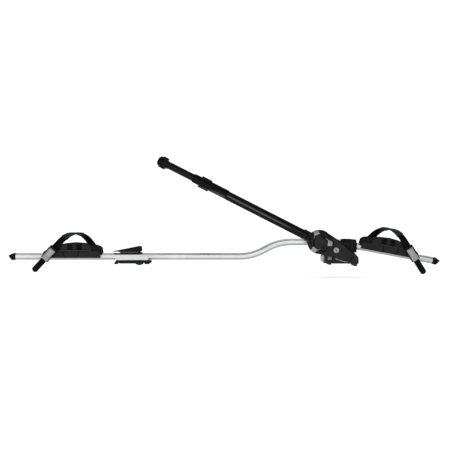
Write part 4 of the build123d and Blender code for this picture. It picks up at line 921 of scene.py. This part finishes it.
def knob_matrix():
    """X and Y in the knob's face as the camera sees it, Z out of the face, in millimetres."""
    pivot = joint_place("knob_turn")
    face_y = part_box("knob_dial")[0].y
    return frame_matrix(Vector((pivot.x, face_y, pivot.z)), Vector((1, 0, 0)), Vector((0, 0, 1)),
                        Vector((0, -1, 0)))


def bump_step(value, low, high):
    """Smooth step from 0 to 1."""
    t = max(0.0, min(1.0, (value - low) / (high - low)))
    return t * t * (3 - 2 * t)


def dial_height(x, y):
    """Relief of the dial's face: three long finger hollows between the grips and a soft rim."""
    reach = math.hypot(x, y)
    height = -RIM_DROP * bump_step(reach, KNOB_RADIUS - 3.2, KNOB_RADIUS)
    height -= 0.5 * bump_step(reach, KNOB_RADIUS - 5.4, KNOB_RADIUS - 4.6)
    for angle in GRIP_ANGLES:
        middle = math.radians(angle + 60)
        along = x * math.cos(middle) + y * math.sin(middle)
        across = -x * math.sin(middle) + y * math.cos(middle)
        bow = (along - HOLLOW_REACH + across * across / 50.0) / HOLLOW_HALF_DEPTH
        side = across / HOLLOW_HALF_LENGTH
        depth = 1 - bow * bow - side * side
        if depth > 0:
            height -= HOLLOW_DEPTH * math.sqrt(depth) * bump_step(depth, 0.0, 0.25)
    return height


def dial_piece():
    """Black dial with finger hollows; its back is open round the hub."""
    turns = [2 * math.pi * index / DIAL_SIDES for index in range(DIAL_SIDES)]
    rings = []
    for step in range(DIAL_STEPS + 1):
        radius = max(KNOB_RADIUS * (step / DIAL_STEPS) ** 0.9, 0.05)
        ring = []
        for turn in turns:
            x, y = radius * math.cos(turn), radius * math.sin(turn)
            ring.append((x, y, dial_height(x, y) if radius < KNOB_RADIUS - 0.01 else -RIM_DROP - 0.5))
        rings.append(ring)
    for radius, depth in DIAL_BACK:
        rings.append([(radius * math.cos(turn), radius * math.sin(turn), depth) for turn in turns])
    new_piece("dial", [tube_of_rings(rings)], knob_matrix(), "deep_black_plastic", "knob", "knob_dial",
              smooth_angle=40, finish="dial_plastic")


def boss_edge(turn):
    """Distance from the knob's middle to the boss's outline, found by halving."""
    low, high = 0.0, 60.0
    for _ in range(22):
        middle = (low + high) / 2
        if soft_triangle(middle * math.cos(turn), middle * math.sin(turn)) < 0:
            low = middle
        else:
            high = middle
    return low


def boss_piece():
    """Raised soft triangle on the dial, slightly crowned, with a shallow dish in its middle."""
    turns = [2 * math.pi * index / BOSS_SIDES for index in range(BOSS_SIDES)]
    outline = [(boss_edge(turn), turn) for turn in turns]
    rings = [[(edge * scale * math.cos(turn), edge * scale * math.sin(turn), height)
              for edge, turn in outline] for scale, height in BOSS_LEVELS]
    new_piece("boss", [tube_of_rings(rings)], knob_matrix(), "black_plastic", "knob", "knob_cap",
              smooth_angle=40)


def soft_triangle(x, y):
    """Below zero inside a triangle with round corners at the grips and sides bowed inward."""
    total = 0.0
    for angle in GRIP_ANGLES:
        flat = math.radians(angle + 180)
        along = x * math.cos(flat) + y * math.sin(flat)
        across = -x * math.sin(flat) + y * math.cos(flat)
        side = along - BOSS_FLAT + 0.0085 * across * across
        total += math.exp(side / BOSS_SOFTNESS)
    total += math.exp((math.hypot(x, y) - BOSS_CORNER) / BOSS_SOFTNESS)
    return math.log(total)


def grip_rings(angle):
    """One silver grip: a wedge that widens to a rounded pad outside the dial's rim."""
    turn = Matrix.Rotation(math.radians(angle), 4, "Z")
    rings = []
    for radius, half, top in GRIP_STATIONS:
        ring = []
        for part in range(13):
            bend = math.pi * part / 12
            ring.append((radius, -half * math.cos(bend), top - 1.5 + 1.5 * math.sin(bend)))
        ring += [(radius, half, GRIP_BACK), (radius, -half, GRIP_BACK)]
        rings.append([turn @ Vector(p) for p in ring])
    return tube_of_rings(rings)


def grip_spur(angle):
    """Thin bright spur that tapers from a grip's left corner along the boss."""
    rings = []
    for step in range(SPUR_STEPS + 1):
        part = step / SPUR_STEPS
        turn = math.radians(angle + 14 + 30 * part)
        radius = 29.0 - 7.6 * part
        width = 1.9 * (1 - 0.75 * part)
        ring = []
        for index in range(SPUR_SIDES):
            bend = 2 * math.pi * index / SPUR_SIDES
            reach = radius + width * math.cos(bend)
            height = 3.2 + 2.2 * part + 1.2 * math.sin(bend)
            ring.append((reach * math.cos(turn), reach * math.sin(turn), height))
        rings.append(ring)
    return tube_of_rings(rings)


def grip_pieces():
    parts = [grip_rings(angle) for angle in GRIP_ANGLES]
    parts += [grip_spur(angle) for angle in GRIP_ANGLES]
    new_piece("grips", parts, knob_matrix(), "silver_plastic", "knob", "knob_grips")


make_camera()
make_stage()
make_lights()
MATERIALS = make_materials()
finish_cad_nodes()
for wheel_end in ENDS:
    strap_piece(wheel_end)
    sleeve_piece(wheel_end)
    lever_piece(wheel_end)
    buckle_details(wheel_end)
    holder_trim(wheel_end)
base_trim()
arm_trim()
dial_piece()
boss_piece()
grip_pieces()
